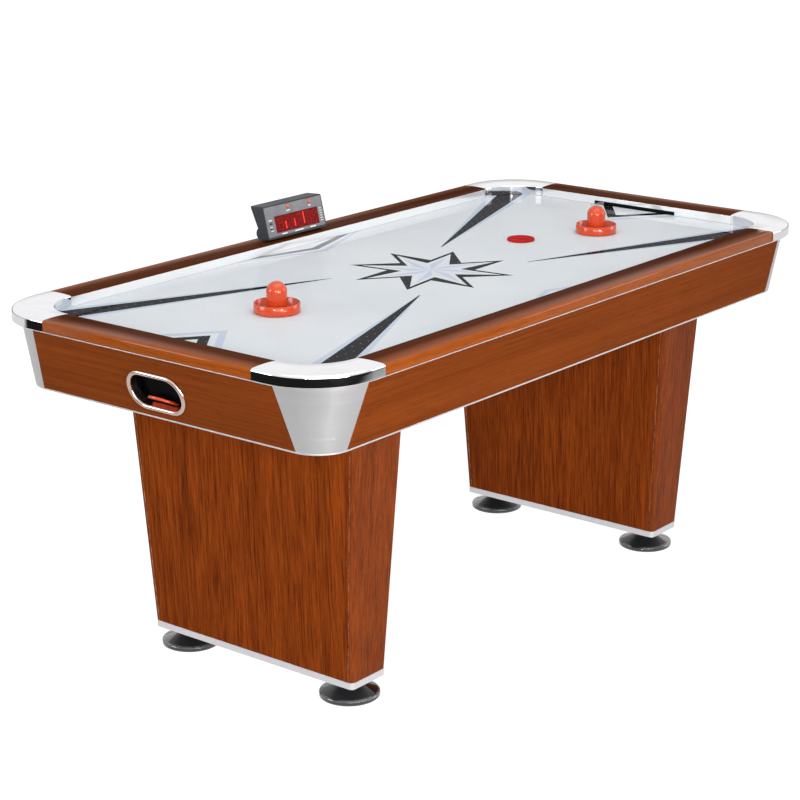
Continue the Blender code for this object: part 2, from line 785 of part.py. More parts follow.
def score_front():
    half = SCORE_WIDTH / 2
    face_shape = score_box(half - 0.0024, 0.0049, SCORE_HEIGHT - 0.0034, -0.0020, -0.0002, 0.0026)
    face = finish(face_shape, "score_face", "grey_face")
    u = (WINDOW_U[0] + WINDOW_U[1]) / 2
    half_u = (WINDOW_U[1] - WINDOW_U[0]) / 2
    opening = score_box(half_u, *WINDOW_V, -0.01, 0.01, 0.0010, u)
    cut(face, finish(opening, "window_opening", None, CUTTERS))
    low_v, high_v = WINDOW_V[0] + 0.0004, WINDOW_V[1] - 0.0004
    lens = score_box(half_u - 0.0004, low_v, high_v, -0.0020, -0.0008, 0.0008, u)
    finish(lens, "score_window", "red_window")
    for name, at in BUTTONS.items():
        hole = move(disc(0.0052, -0.01, 0.01, (at, BUTTON_V), 24), SCORE_AT)
        cut(face, finish(hole, "button_hole_" + name, None, CUTTERS))
        cap = (
            (0.0, -0.0080),
            (0.0044, -0.0080),
            (0.0044, 0.0016),
            (0.0038, 0.0026),
            (0.0022, 0.0033),
            (0.0, 0.0036),
        )
        dome = move(lathe(cap, 24, (at, BUTTON_V, 0.0)), SCORE_AT)
        finish(dome, "score_button_" + name, "button")


def score_mount():
    axis = HINGE_AT.translation
    foot = plate(0.0240, 0.0195, 0.8038, 0.8068, 0.004, 4, (0.0, 0.4370))
    bracket = finish(foot, "score_bracket", "steel")
    lug = block((-0.0230, axis.y - 0.0062, 0.8050), (0.0230, axis.y + 0.0062, axis.z))
    join(bracket, finish(lug, "hinge_lug", None, CUTTERS))
    crown = move(disc(0.0068, -0.0235, 0.0235, (0, 0), 28), HINGE_AT)
    join(bracket, finish(crown, "hinge_crown", None, CUTTERS))
    pin = move(disc(0.0030, -0.0950, 0.0950, (0, 0), 24), HINGE_AT)
    join(bracket, finish(pin, "hinge_pin", None, CUTTERS))
    knob = (
        (0.0, 0.0),
        (0.0075, 0.0),
        (0.0075, 0.0030),
        (0.0088, 0.0040),
        (0.0088, 0.0110),
        (0.0074, 0.0125),
        (0.0, 0.0125),
    )
    finish(lathe(knob, 18, (0, KNOB_Y, 0.8071)), "score_clamp_knob", "charcoal")


# ---------------------------------------------------------------- playing pieces


def mallet_profile():
    dome = []
    shoulder = MALLET_TALL - KNOB_R
    for i in range(1, 8):
        angle = math.pi / 2 * (1 - i / 8)
        dome.append((KNOB_R * math.sin(math.pi / 2 - angle), shoulder + KNOB_R * math.sin(angle)))
    outside = [
        (KNOB_R, shoulder),
        (KNOB_R, 0.0120),
        (KNOB_R + 0.0015, 0.0070),
        (KNOB_R + 0.0045, 0.0045),
        (MALLET_R - 0.0040, 0.0042),
        (MALLET_R - 0.0026, MALLET_RING - 0.0006),
        (MALLET_R - 0.0018, MALLET_RING),
        (MALLET_R - 0.0007, MALLET_RING - 0.0005),
        (MALLET_R, 0.0030),
        (MALLET_R - 0.0020, 0.0006),
        (0.0, 0.0006),
    ]
    return [(0.0, MALLET_TALL)] + dome + outside


def playing_pieces():
    profile = mallet_profile()
    finish(lathe(profile, 32, (*MALLET_WEST, PLAY_TOP)), "mallet_west", "mallet_plastic")
    finish(lathe(profile, 32, (*MALLET_EAST, PLAY_TOP)), "mallet_east", "mallet_plastic")
    disc_profile = (
        (0.0, 0.0),
        (PUCK_R - 0.0008, 0.0),
        (PUCK_R, 0.0008),
        (PUCK_R, PUCK_THICK - 0.0008),
        (PUCK_R - 0.0008, PUCK_THICK),
        (0.0, PUCK_THICK),
    )
    finish(lathe(disc_profile, 36, (*PUCK_AT, PLAY_TOP + 0.0006)), "puck_play", "puck_plastic")
    returned = lathe(disc_profile, 36, (0, 0, -PUCK_THICK / 2))
    returned = move(returned, Matrix.Rotation(RETURN_TILT, 4, "Y"))
    returned = move(returned, Matrix.Translation(RETURN_PUCK_AT))
    finish(returned, "puck_return", "puck_plastic")


# ---------------------------------------------------------------- assembly

clear_scene()
PARTS = make_collection("air_hockey_table", False)
CUTTERS = make_collection("construction", True)

ROCKER_TILT = math.radians(8.0)
POWER_AT = back_matrix(0.40, 0.7120)
SCORE_AT = score_matrix()
HINGE_AT = hinge_matrix()
KNOB_Y = 0.4460
WINDOW_U = (-0.0713, 0.0824)
WINDOW_V = (0.0115, 0.0515)
BUTTON_V = SCORE_HEIGHT - 0.0100
BUTTONS = {"left": -0.0187, "right": 0.0570}

playfield()
bottom_panel()
aprons()
corner_cones()
corner_caps()
rails()
wall_liners()
trims()
return_cups()
return_rings()
legs()
feet()
blower()
power_panel()
score_case()
score_front()
score_mount()
playing_pieces()
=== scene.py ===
# %% [markdown]
# # A home air hockey table
#
# The table is a wood-look cabinet on two tapering pedestal legs. Four chrome caps and four
# brushed corner shells join its sides, a glossy printed playfield lies inside its rails, and a
# small score unit stands on one rail.
#
# The imported model already holds every solid in its place. This lesson gives each of them its
# finish, rebuilds the shiny round parts more finely, and adds the small things that a solid model
# leaves out. We start by loading the frame and measuring its outer box, so that at the end we can
# print how far the looks reach past it.

import json
import math

import bmesh
import bpy
from mathutils import Matrix, Vector


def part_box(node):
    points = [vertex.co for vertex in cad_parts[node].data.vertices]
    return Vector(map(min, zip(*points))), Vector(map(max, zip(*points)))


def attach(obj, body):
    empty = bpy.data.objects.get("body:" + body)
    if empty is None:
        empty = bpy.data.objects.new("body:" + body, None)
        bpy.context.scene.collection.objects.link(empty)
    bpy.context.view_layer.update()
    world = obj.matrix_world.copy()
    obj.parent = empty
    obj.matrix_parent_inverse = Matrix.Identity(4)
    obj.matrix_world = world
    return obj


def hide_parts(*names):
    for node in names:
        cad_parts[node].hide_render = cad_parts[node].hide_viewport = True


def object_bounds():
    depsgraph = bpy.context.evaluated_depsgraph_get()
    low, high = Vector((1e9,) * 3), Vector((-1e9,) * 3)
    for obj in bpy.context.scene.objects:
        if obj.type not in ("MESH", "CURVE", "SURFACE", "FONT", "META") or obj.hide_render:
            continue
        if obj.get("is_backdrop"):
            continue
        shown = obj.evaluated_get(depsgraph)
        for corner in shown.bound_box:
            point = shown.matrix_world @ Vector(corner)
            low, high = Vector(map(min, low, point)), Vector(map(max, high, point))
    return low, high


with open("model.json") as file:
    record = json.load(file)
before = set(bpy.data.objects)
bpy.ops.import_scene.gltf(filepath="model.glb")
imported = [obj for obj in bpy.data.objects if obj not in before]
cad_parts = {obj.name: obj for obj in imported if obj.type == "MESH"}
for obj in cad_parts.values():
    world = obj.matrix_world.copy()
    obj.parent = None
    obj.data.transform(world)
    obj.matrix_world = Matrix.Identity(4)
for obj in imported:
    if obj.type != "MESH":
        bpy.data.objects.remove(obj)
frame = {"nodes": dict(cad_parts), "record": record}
cad_low, cad_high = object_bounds()
body_of_node = {
    node: body for body, nodes in frame["record"]["behaviour"]["bodies"].items() for node in nodes
}

# %% [markdown]
# ## Camera
#
# A long lens from a little above the rail, beyond the near left corner, shows the end with the
# puck return, the long side and the whole playfield. The camera comes first so that every
# later step can be looked at through it.

# %% Set the camera
camera = bpy.data.objects.new("camera", bpy.data.cameras.new("camera"))
bpy.context.scene.collection.objects.link(camera)
bpy.context.scene.camera = camera
camera.location = (-3.8142, -2.9932, 1.9331)
camera.rotation_euler = (math.radians(73.293), 0.0, math.radians(-52.1))
camera.data.sensor_width = 36.0
camera.data.lens = 98.57
camera.data.shift_x = -0.0491
camera.data.shift_y = -0.0043
print("camera", [round(c, 3) for c in camera.location])

# %% [markdown]
# ## Small helpers for shader nodes
#
# Every finish is a little network of nodes. It could be wired by hand in the shader editor, but a
# script can repeat it exactly. These helpers make one node at a time and join it to what feeds
# it, so that a recipe reads in the order in which the pattern is built. A value may be a number,
# a colour or the output of another node.


# %% Node helpers
def add_node(tree, kind, **settings):
    made = tree.nodes.new("ShaderNode" + kind)
    for name, value in settings.items():
        setattr(made, name, value)
    return made


def feed(tree, socket, value):
    if isinstance(value, bpy.types.NodeSocket):
        tree.links.new(value, socket)
    else:
        socket.default_value = value


def reckon(tree, operation, first, second=0.0, third=0.0, clamp=False):
    made = add_node(tree, "Math", operation=operation, use_clamp=clamp)
    for socket, value in zip(made.inputs, (first, second, third)):
        feed(tree, socket, value)
    return made.outputs[0]


def stretched(tree, vector, scale):
    made = add_node(tree, "VectorMath", operation="MULTIPLY")
    feed(tree, made.inputs[0], vector)
    made.inputs[1].default_value = scale
    return made.outputs[0]


def cloud(tree, vector, scale, detail=3.0, roughness=0.55):
    """A soft random pattern between 0 and 1."""
    made = add_node(tree, "TexNoise")
    feed(tree, made.inputs["Vector"], vector)
    feed(tree, made.inputs["Scale"], scale)
    made.inputs["Detail"].default_value = detail
    made.inputs["Roughness"].default_value = roughness
    return made.outputs["Fac"]


def spread(tree, value, low, high, to_low=0.0, to_high=1.0):
    """Stretches the part of a pattern between low and high over a new range."""
    made = add_node(tree, "MapRange", clamp=True)
    for socket, number in zip(made.inputs, (value, low, high, to_low, to_high)):
        feed(tree, socket, number)
    return made.outputs[0]


def mix_colours(tree, share, first, second, way="MIX"):
    made = add_node(tree, "Mix", data_type="RGBA", blend_type=way)
    feed(tree, made.inputs["Factor"], share)
    feed(tree, made.inputs[6], first)
    feed(tree, made.inputs[7], second)
    return made.outputs[2]


def raise_surface(tree, shader, height, distance, strength=1.0):
    """Feeds a height pattern to the shader's normal."""
    made = add_node(tree, "Bump")
    made.inputs["Strength"].default_value = strength
    made.inputs["Distance"].default_value = distance
    feed(tree, made.inputs["Height"], height)
    tree.links.new(made.outputs["Normal"], shader.inputs["Normal"])


print("node helpers ready")

# %% [markdown]
# ## Effects that several finishes share
#
# Real surfaces repeat a few effects: laminate grain, handling marks, the fine skin of a moulding,
# and the lines of a brushed metal. Each could be copied into every material that needs it. Built
# once as a node group with its own inputs, it is improved in one place, and a finish then sets
# the inputs to suit. A group only puts out colours, masks and heights, and the shader itself
# stays in the finish.


# %% Start a node group
def new_effect(name, inputs, outputs):
    tree = bpy.data.node_groups.new(name, "ShaderNodeTree")
    for label, kind, value in inputs:
        socket = tree.interface.new_socket(name=label, in_out="INPUT", socket_type="NodeSocket" + kind)
        if value is not None:
            socket.default_value = value
    for label, kind in outputs:
        tree.interface.new_socket(name=label, in_out="OUTPUT", socket_type="NodeSocket" + kind)
    given = tree.nodes.new("NodeGroupInput").outputs
    out = tree.nodes.new("NodeGroupOutput").inputs
    return tree, given, out


def place_effect(tree, effect, **values):
    made = tree.nodes.new("ShaderNodeGroup")
    made.node_tree = effect
    for label, value in values.items():
        feed(tree, made.inputs[label], value)
    return made.outputs


print("effect helpers ready")


# %% [markdown]
# ### Laminate grain
#
# The boards are wrapped in a printed mahogany-like foil. Its print has broad soft ribbons, finer
# streaks, and short dark pores, all drawn out along the board. A scanned veneer would repeat and
# need unwrapping. Noise doesn't, and it gives all three marks when its coordinates are squeezed
# along the grain, which here is always the group's X direction.

# %% Laminate grain
laminate_grain, given, out = new_effect(
    "laminate_grain",
    [
        ("Vector", "Vector", None),
        ("Light", "Color", (0.3, 0.08, 0.02, 1)),
        ("Dark", "Color", (0.12, 0.03, 0.01, 1)),
        ("Pores", "Float", 0.4),
        ("Ribbons", "Float", 0.5),
        ("Streaks", "Float", 0.6),
    ],
    [("Color", "Color"), ("Roughness", "Float"), ("Height", "Float")],
)
tree = laminate_grain
ribbon = cloud(tree, stretched(tree, given["Vector"], (0.7, 30.0, 30.0)), 1.0, 3.0, 0.6)
streak = cloud(tree, stretched(tree, given["Vector"], (2.2, 210.0, 210.0)), 1.0, 4.0, 0.7)
pore = cloud(tree, stretched(tree, given["Vector"], (22.0, 760.0, 760.0)), 1.0, 2.0, 0.6)
ribbon = reckon(tree, "MULTIPLY", spread(tree, ribbon, 0.30, 0.70), given["Ribbons"])
streak = reckon(tree, "MULTIPLY", spread(tree, streak, 0.36, 0.66), given["Streaks"])
pore = spread(tree, pore, 0.54, 0.70)
tone = reckon(tree, "ADD", ribbon, streak, clamp=True)
foil = mix_colours(tree, tone, given["Light"], given["Dark"])
pore_brown = (0.035, 0.009, 0.004, 1)
foil = mix_colours(tree, reckon(tree, "MULTIPLY", pore, given["Pores"]), foil, pore_brown)
tree.links.new(foil, out["Color"])
tree.links.new(spread(tree, tone, 0.0, 1.0, 0.30, 0.42), out["Roughness"])
tree.links.new(reckon(tree, "MULTIPLY_ADD", pore, -0.7, streak), out["Height"])
print("laminate grain:", len(tree.nodes), "nodes")

# %% [markdown]
# ### Handling marks
#
# Hands leave broad dull smudges and a few hairline scratches, and they rub corners first. The
# smudges are large soft noise, and the hairlines are the thin middle of a stretched noise, which
# costs far less than modelling scratches. The rubbing uses an attribute called edge, which the
# modelling helpers below write on every rounded edge.

# %% Handling marks
handling_marks, given, out = new_effect(
    "handling_marks",
    [("Vector", "Vector", None), ("Scale", "Float", 6.0), ("Edge", "Float", 0.0)],
    [("Smudge", "Float"), ("Hairline", "Float"), ("Rubbed", "Float")],
)
tree = handling_marks
smudge = spread(tree, cloud(tree, given["Vector"], given["Scale"], 4.0, 0.6), 0.35, 0.72)
turned = add_node(tree, "Mapping")
turned.inputs["Rotation"].default_value = (0.5, 0.3, 0.8)
turned.inputs["Scale"].default_value = (9.0, 190.0, 60.0)
feed(tree, turned.inputs["Vector"], given["Vector"])
line = cloud(tree, turned.outputs[0], 1.0, 2.0, 0.5)
line = reckon(tree, "ABSOLUTE", reckon(tree, "SUBTRACT", line, 0.5))
line = spread(tree, line, 0.0, 0.012, 1.0, 0.0)
patch = spread(tree, cloud(tree, given["Vector"], 11.0, 2.0), 0.52, 0.66)
rub = spread(tree, cloud(tree, given["Vector"], 46.0, 4.0, 0.7), 0.38, 0.64)
tree.links.new(smudge, out["Smudge"])
tree.links.new(reckon(tree, "MULTIPLY", line, patch), out["Hairline"])
tree.links.new(reckon(tree, "MULTIPLY", rub, given["Edge"]), out["Rubbed"])
print("handling marks:", len(tree.nodes), "nodes")

# %% [markdown]
# ### Moulded skin
#
# Injection moulded plastic is never quite even: its colour drifts a little, and its skin has a
# very fine grain from the tool. Two noises at different sizes are enough, and a finish can make
# the grain coarser for a textured case or for felt.

# %% Moulded skin
moulded_skin, given, out = new_effect(
    "moulded_skin",
    [("Vector", "Vector", None), ("Grain", "Float", 1800.0)],
    [("Drift", "Float"), ("Height", "Float")],
)
tree = moulded_skin
drift = spread(tree, cloud(tree, given["Vector"], 24.0, 4.0, 0.6), 0.3, 0.7)
tree.links.new(drift, out["Drift"])
tree.links.new(cloud(tree, given["Vector"], given["Grain"], 2.0, 0.6), out["Height"])
print("moulded skin:", len(tree.nodes), "nodes")

# %% [markdown]
# ### Brushed lines
#
# Brushing leaves long parallel scratches. An anisotropic shader would only stretch the highlight,
# so real lines are drawn instead. The pattern is squeezed along its own X, and each finish turns
# it with a Mapping node so that the lines run as they do on the part.

# %% Brushed lines
brushed_lines, given, out = new_effect(
    "brushed_lines", [("Vector", "Vector", None)], [("Line", "Float"), ("Band", "Float")]
)
tree = brushed_lines
fine = cloud(tree, stretched(tree, given["Vector"], (6.0, 1500.0, 1500.0)), 1.0, 3.0, 0.7)
band = cloud(tree, stretched(tree, given["Vector"], (1.5, 70.0, 70.0)), 1.0, 3.0, 0.6)
tree.links.new(spread(tree, fine, 0.28, 0.72), out["Line"])
tree.links.new(spread(tree, band, 0.30, 0.70), out["Band"])
print("brushed lines:", len(tree.nodes), "nodes")

# %% [markdown]
# ## Finishes
#
# Each finish starts from one Principled shader. Values that are the same all over a surface are
# set on the shader's own sockets, and the patterns feed colour, roughness and height.


# %% Start a finish
def new_finish(
    name, metallic=0.0, roughness=0.4, coat=0.0, coat_roughness=0.05, colour=(0.5, 0.5, 0.5),
    specular=0.15,
):
    material = bpy.data.materials.new(name)
    material.use_nodes = True
    tree = material.node_tree
    shader = tree.nodes["Principled BSDF"]
    shader.inputs["Base Color"].default_value = (*colour, 1)
    shader.inputs["Metallic"].default_value = metallic
    shader.inputs["Roughness"].default_value = roughness
    shader.inputs["Specular IOR Level"].default_value = specular
    shader.inputs["Coat Weight"].default_value = coat
    shader.inputs["Coat Roughness"].default_value = coat_roughness
    place = add_node(tree, "TexCoord").outputs["Object"]
    return material, tree, shader, place


def edge_of(tree):
    return add_node(tree, "Attribute", attribute_name="edge").outputs["Fac"]


def turn(tree, place, rotation=(0, 0, 0), location=(0, 0, 0)):
    made = add_node(tree, "Mapping")
    made.inputs["Rotation"].default_value = rotation
    made.inputs["Location"].default_value = location
    tree.links.new(place, made.inputs["Vector"])
    return made.outputs[0]


ALONG = {"x": (0, 0, 0), "y": (0, 0, math.pi / 2), "z": (0, math.pi / 2, 0)}
print("grain turns for", list(ALONG))

# %% [markdown]
# ### Wood foil
#
# The same foil is used five ways: along the long sides, along the ends, over the rails, upright
# on the legs' wide boards, and upright on their glossier narrow edges. Five separate materials would
# drift apart, so one recipe makes them all. Rubbed edges show a paler, more orange tone, partly
# from wear of the foil and partly as a painted highlight on the rounded edges.
#
# The rails are multiplied darker towards the playfield as painted shade, and are more polished on
# their outer shoulder. Their recipe reads a number called crown from the mesh, which runs from 0
# on the shoulder to 1 on the top, where the painted shade is darkest.


# %% Wood foil
def wood_foil(name, grain, light, dark, streaks, coat, rub_colour, shift=(0, 0, 0), crown=None):
    material, tree, shader, place = new_finish(name, coat=coat, coat_roughness=0.09, specular=0.0)
    foil = place_effect(
        tree, laminate_grain, Vector=turn(tree, place, ALONG[grain], shift),
        Light=(*light, 1), Dark=(*dark, 1), Pores=0.5, Ribbons=0.34, Streaks=streaks,
    )
    marks = place_effect(tree, handling_marks, Vector=place, Scale=5.0, Edge=edge_of(tree))
    # Paler, more orange rounded edges: partly wear, partly a painted highlight.
    wear_and_highlight = reckon(tree, "MULTIPLY", marks["Rubbed"], 0.55)
    colour = mix_colours(tree, wear_and_highlight, foil["Color"], (*rub_colour, 1))
    smudged = reckon(tree, "MULTIPLY", marks["Smudge"], 0.10)
    colour = mix_colours(tree, smudged, colour, (*dark, 1))
    if crown:
        # Painted shade: the rail's top is multiplied darker towards the playfield.
        share = add_node(tree, "Attribute", attribute_name="crown").outputs["Fac"]
        colour = mix_colours(tree, share, colour, (*crown, 1), "MULTIPLY")
        tree.links.new(spread(tree, share, 0.0, 1.0, coat, 0.06), shader.inputs["Coat Weight"])
    tree.links.new(colour, shader.inputs["Base Color"])
    rough = reckon(tree, "MULTIPLY_ADD", marks["Smudge"], 0.07, foil["Roughness"])
    tree.links.new(reckon(tree, "MULTIPLY_ADD", marks["Hairline"], 0.10, rough), shader.inputs["Roughness"])
    raise_surface(tree, shader, foil["Height"], 0.00012, 0.5)
    return material


APRON_TONES = (0.215, 0.046, 0.006), (0.092, 0.017, 0.002)
RAIL_TONES = (0.310, 0.070, 0.008), (0.165, 0.034, 0.004)
LEG_TONES = (0.285, 0.056, 0.006), (0.088, 0.014, 0.002)
EDGE_TONES = (0.235, 0.046, 0.005), (0.092, 0.015, 0.002)
# Edge tones: partly wear, partly a painted highlight on the rounded edges.
APRON_WEAR_AND_HIGHLIGHT, RAIL_WEAR_AND_HIGHLIGHT = (0.55, 0.22, 0.08), (0.55, 0.18, 0.04)
LEG_WEAR_AND_HIGHLIGHT, EDGE_WEAR_AND_HIGHLIGHT = (0.65, 0.26, 0.10), (0.95, 0.55, 0.34)
# Painted shade for the rails' top, multiplied over the foil.
RAIL_TOP_PAINTED_SHADE = (0.30, 0.33, 0.70)
side_foil = wood_foil("side_foil", "x", *APRON_TONES, 0.42, 0.08, APRON_WEAR_AND_HIGHLIGHT)
end_foil = wood_foil("end_foil", "y", *APRON_TONES, 0.42, 0.08, APRON_WEAR_AND_HIGHLIGHT, (3, 0, 0))
rail_foil_x = wood_foil("rail_foil_x", "x", *RAIL_TONES, 0.36, 0.45, RAIL_WEAR_AND_HIGHLIGHT, (0, 5, 0), RAIL_TOP_PAINTED_SHADE)
rail_foil_y = wood_foil("rail_foil_y", "y", *RAIL_TONES, 0.36, 0.45, RAIL_WEAR_AND_HIGHLIGHT, (0, 9, 0), RAIL_TOP_PAINTED_SHADE)
leg_foil = wood_foil("leg_foil", "z", *LEG_TONES, 0.80, 0.05, LEG_WEAR_AND_HIGHLIGHT, (7, 0, 0))
leg_edge_foil = wood_foil("leg_edge_foil", "z", *EDGE_TONES, 0.70, 0.25, EDGE_WEAR_AND_HIGHLIGHT, (11, 0, 0))
print("wood foils:", [m.name for m in bpy.data.materials if m.name.endswith(("foil", "_x", "_y"))])

# %% [markdown]
# ### Chrome, brushed aluminium and steel
#
# Chrome is a mirror, so nearly all of its look comes from what it reflects. Its own detail is a
# thin film of smudges that dull it in patches, and hairlines. The return rings take the same
# recipe with a warmer, duller nickel tone.
#
# Brushed metal scatters light across its lines. The corner shells are turned and brushed round
# their axis, so their lines are stretched almost endlessly across and kept fine up the shell,
# with a little real relief. The foil on them and on the trims isn't pure metal, so neither is the
# finish.


# %% Metals
def chrome_finish(name, tint, roughness):
    material, tree, shader, place = new_finish(name, metallic=1.0, roughness=roughness, colour=tint)
    marks = place_effect(tree, handling_marks, Vector=place, Scale=16.0, Edge=edge_of(tree))
    dull = tuple(c * 0.86 for c in tint)
    share = reckon(tree, "MULTIPLY", marks["Smudge"], 0.5)
    tree.links.new(mix_colours(tree, share, (*tint, 1), (*dull, 1)), shader.inputs["Base Color"])
    rough = reckon(tree, "MULTIPLY_ADD", marks["Smudge"], 0.055, roughness)
    rough = reckon(tree, "MULTIPLY_ADD", marks["Hairline"], 0.10, rough)
    tree.links.new(rough, shader.inputs["Roughness"])
    raise_surface(tree, shader, cloud(tree, place, 90.0, 2.0), 0.00005, 0.35)
    return material


def brushed_finish(name, grain, tint, metallic, roughness, flatten=(1, 1, 1), relief=0.00003):
    material, tree, shader, place = new_finish(name, metallic=metallic, roughness=roughness)
    turned = stretched(tree, turn(tree, place, ALONG[grain]), flatten)
    brush = place_effect(tree, brushed_lines, Vector=turned)
    marks = place_effect(tree, handling_marks, Vector=place, Scale=9.0, Edge=edge_of(tree))
    dull = tuple(c * 0.80 for c in tint)
    share = reckon(tree, "MULTIPLY_ADD", brush["Band"], 0.25, reckon(tree, "MULTIPLY", brush["Line"], 0.35))
    colour = mix_colours(tree, share, (*tint, 1), (*dull, 1))
    colour = mix_colours(tree, marks["Rubbed"], colour, (0.92, 0.92, 0.93, 1))
    tree.links.new(colour, shader.inputs["Base Color"])
    rough = reckon(tree, "MULTIPLY_ADD", brush["Line"], 0.12, roughness)
    tree.links.new(reckon(tree, "MULTIPLY_ADD", marks["Smudge"], 0.05, rough), shader.inputs["Roughness"])
    raise_surface(tree, shader, brush["Line"], relief, 0.5)
    return material


chrome = chrome_finish("chrome", (0.88, 0.88, 0.89), 0.035)
ring_nickel = chrome_finish("ring_nickel", (0.74, 0.57, 0.49), 0.20)
RINGS_ROUND_THE_SHELL = (0.3, 0.0012, 2.6)
shell_aluminium = brushed_finish(
    "shell_aluminium", "x", (0.60, 0.59, 0.59), 0.85, 0.26, RINGS_ROUND_THE_SHELL, 0.00022
)
trim_aluminium = brushed_finish("trim_aluminium", "x", (0.74, 0.73, 0.75), 0.70, 0.26)
zinc_steel = brushed_finish("zinc_steel", "x", (0.62, 0.62, 0.63), 1.0, 0.30)
screw_bronze = brushed_finish("screw_bronze", "x", (0.13, 0.08, 0.06), 0.9, 0.38)
print("metals ready")

# %% [markdown]
# ### Printed playfield
#
# The playfield is a white board with a printed star, spears and chevrons under a clear gloss
# coat. The print could be an image, but its borders would blur close up. Here it is a number
# called ink on each face of the top, so the borders stay sharp, and a ramp turns that number into
# a colour.
#
# Air comes up through a square grid of small holes. Cutting over two thousand holes would swamp
# the mesh, so the distance from the nearest grid point gives a round mask for each, where the
# hole is painted dark as painted shade inside it.

# %% Printed playfield finish
INK_WHITE, INK_ICE, INK_LILAC, INK_GREY, INK_COAL = 0.0, 0.2, 0.4, 0.6, 0.8
HOLE_PITCH = 0.0254
playfield_print, tree, shader, place = new_finish(
    "playfield_print", roughness=0.22, coat=0.16, coat_roughness=0.02, specular=0.0
)
inks = add_node(tree, "ValToRGB")
inks.color_ramp.interpolation = "CONSTANT"
stops = inks.color_ramp.elements
stops[0].position, stops[0].color = 0.0, (0.685, 0.710, 0.730, 1)
stops[1].position, stops[1].color = 0.1, (0.530, 0.585, 0.680, 1)
for position, tint in ((0.3, (0.68, 0.69, 0.77)), (0.5, (0.20, 0.205, 0.21)), (0.7, (0.012, 0.012, 0.014))):
    stops.new(position).color = (*tint, 1)
tree.links.new(add_node(tree, "Attribute", attribute_name="ink").outputs["Fac"], inks.inputs[0])
grid = add_node(tree, "VectorMath", operation="FRACTION")
between = turn(tree, place, location=(HOLE_PITCH / 2, HOLE_PITCH / 2, 0))
tree.links.new(stretched(tree, between, (1 / HOLE_PITCH,) * 3), grid.inputs[0])
away = add_node(tree, "VectorMath", operation="SUBTRACT")
away.inputs[1].default_value = (0.5, 0.5, 0.0)
tree.links.new(grid.outputs[0], away.inputs[0])
away = stretched(tree, away.outputs[0], (HOLE_PITCH, HOLE_PITCH, 0.0))
reach = add_node(tree, "VectorMath", operation="LENGTH")
tree.links.new(away, reach.inputs[0])
hole = spread(tree, reach.outputs["Value"], 0.00045, 0.00065, 1.0, 0.0)
lip = spread(tree, reach.outputs["Value"], 0.0011, 0.0015, 1.0, 0.0)
marks = place_effect(tree, handling_marks, Vector=place, Scale=2.2, Edge=0.0)
smudged = reckon(tree, "MULTIPLY", marks["Smudge"], 0.30)
colour = mix_colours(tree, smudged, inks.outputs[0], (0.60, 0.64, 0.68, 1), "MULTIPLY")
colour = mix_colours(tree, reckon(tree, "MULTIPLY", lip, 0.55), colour, (0.62, 0.65, 0.69, 1))
# Painted shade: each hole is painted near black for the shade inside it.
colour = mix_colours(tree, reckon(tree, "MULTIPLY", hole, 0.85), colour, (0.06, 0.06, 0.065, 1))
tree.links.new(colour, shader.inputs["Base Color"])
rough = reckon(tree, "MULTIPLY_ADD", marks["Smudge"], 0.10, 0.16)
tree.links.new(reckon(tree, "MULTIPLY_ADD", marks["Hairline"], 0.15, rough), shader.inputs["Roughness"])
raise_surface(tree, shader, reckon(tree, "SUBTRACT", 1.0, hole), 0.0004, 0.6)
print("playfield print: holes every", HOLE_PITCH * 1000, "mm")

# %% [markdown]
# ### White wall board, fibreboard and plastics
#
# One recipe makes every plastic, board and painted surface: a main colour that drifts towards a
# second one, a fine moulded skin, and edges that are rubbed paler. Gloss is set by the roughness
# and a clear coat, so the feet shine, the wall boards mirror the playfield a little, and the felt
# stays dull.


# %% Plastics and painted boards
def moulded_finish(
    name, colour, second, rub_colour, roughness, coat=0.0, grain=1800.0, relief=0.00002, metallic=0.0,
    specular=0.2,
):
    material, tree, shader, place = new_finish(name, metallic, roughness, coat, 0.04, specular=specular)
    skin = place_effect(tree, moulded_skin, Vector=place, Grain=grain)
    marks = place_effect(tree, handling_marks, Vector=place, Scale=14.0, Edge=edge_of(tree))
    tint = mix_colours(tree, reckon(tree, "MULTIPLY", skin["Drift"], 0.8), (*colour, 1), (*second, 1))
    tint = mix_colours(tree, reckon(tree, "MULTIPLY", marks["Rubbed"], 0.7), tint, (*rub_colour, 1))
    tree.links.new(tint, shader.inputs["Base Color"])
    rough = reckon(tree, "MULTIPLY_ADD", marks["Smudge"], 0.10, roughness)
    tree.links.new(reckon(tree, "MULTIPLY_ADD", marks["Hairline"], 0.12, rough), shader.inputs["Roughness"])
    raise_surface(tree, shader, skin["Height"], relief, 0.6)
    return material


wall_board = moulded_finish(
    "wall_board", (0.88, 0.885, 0.89), (0.85, 0.86, 0.87), (0.95, 0.95, 0.95), 0.05, 0.4, metallic=0.55
)
fibreboard = moulded_finish(
    "fibreboard", (0.26, 0.17, 0.10), (0.17, 0.11, 0.065), (0.34, 0.24, 0.15),
    0.72, grain=420.0, relief=0.0003,
)
black_moulding = moulded_finish(
    "black_moulding", (0.014, 0.014, 0.016), (0.022, 0.022, 0.024), (0.09, 0.09, 0.095),
    0.34, grain=1400.0, relief=0.00004,
)
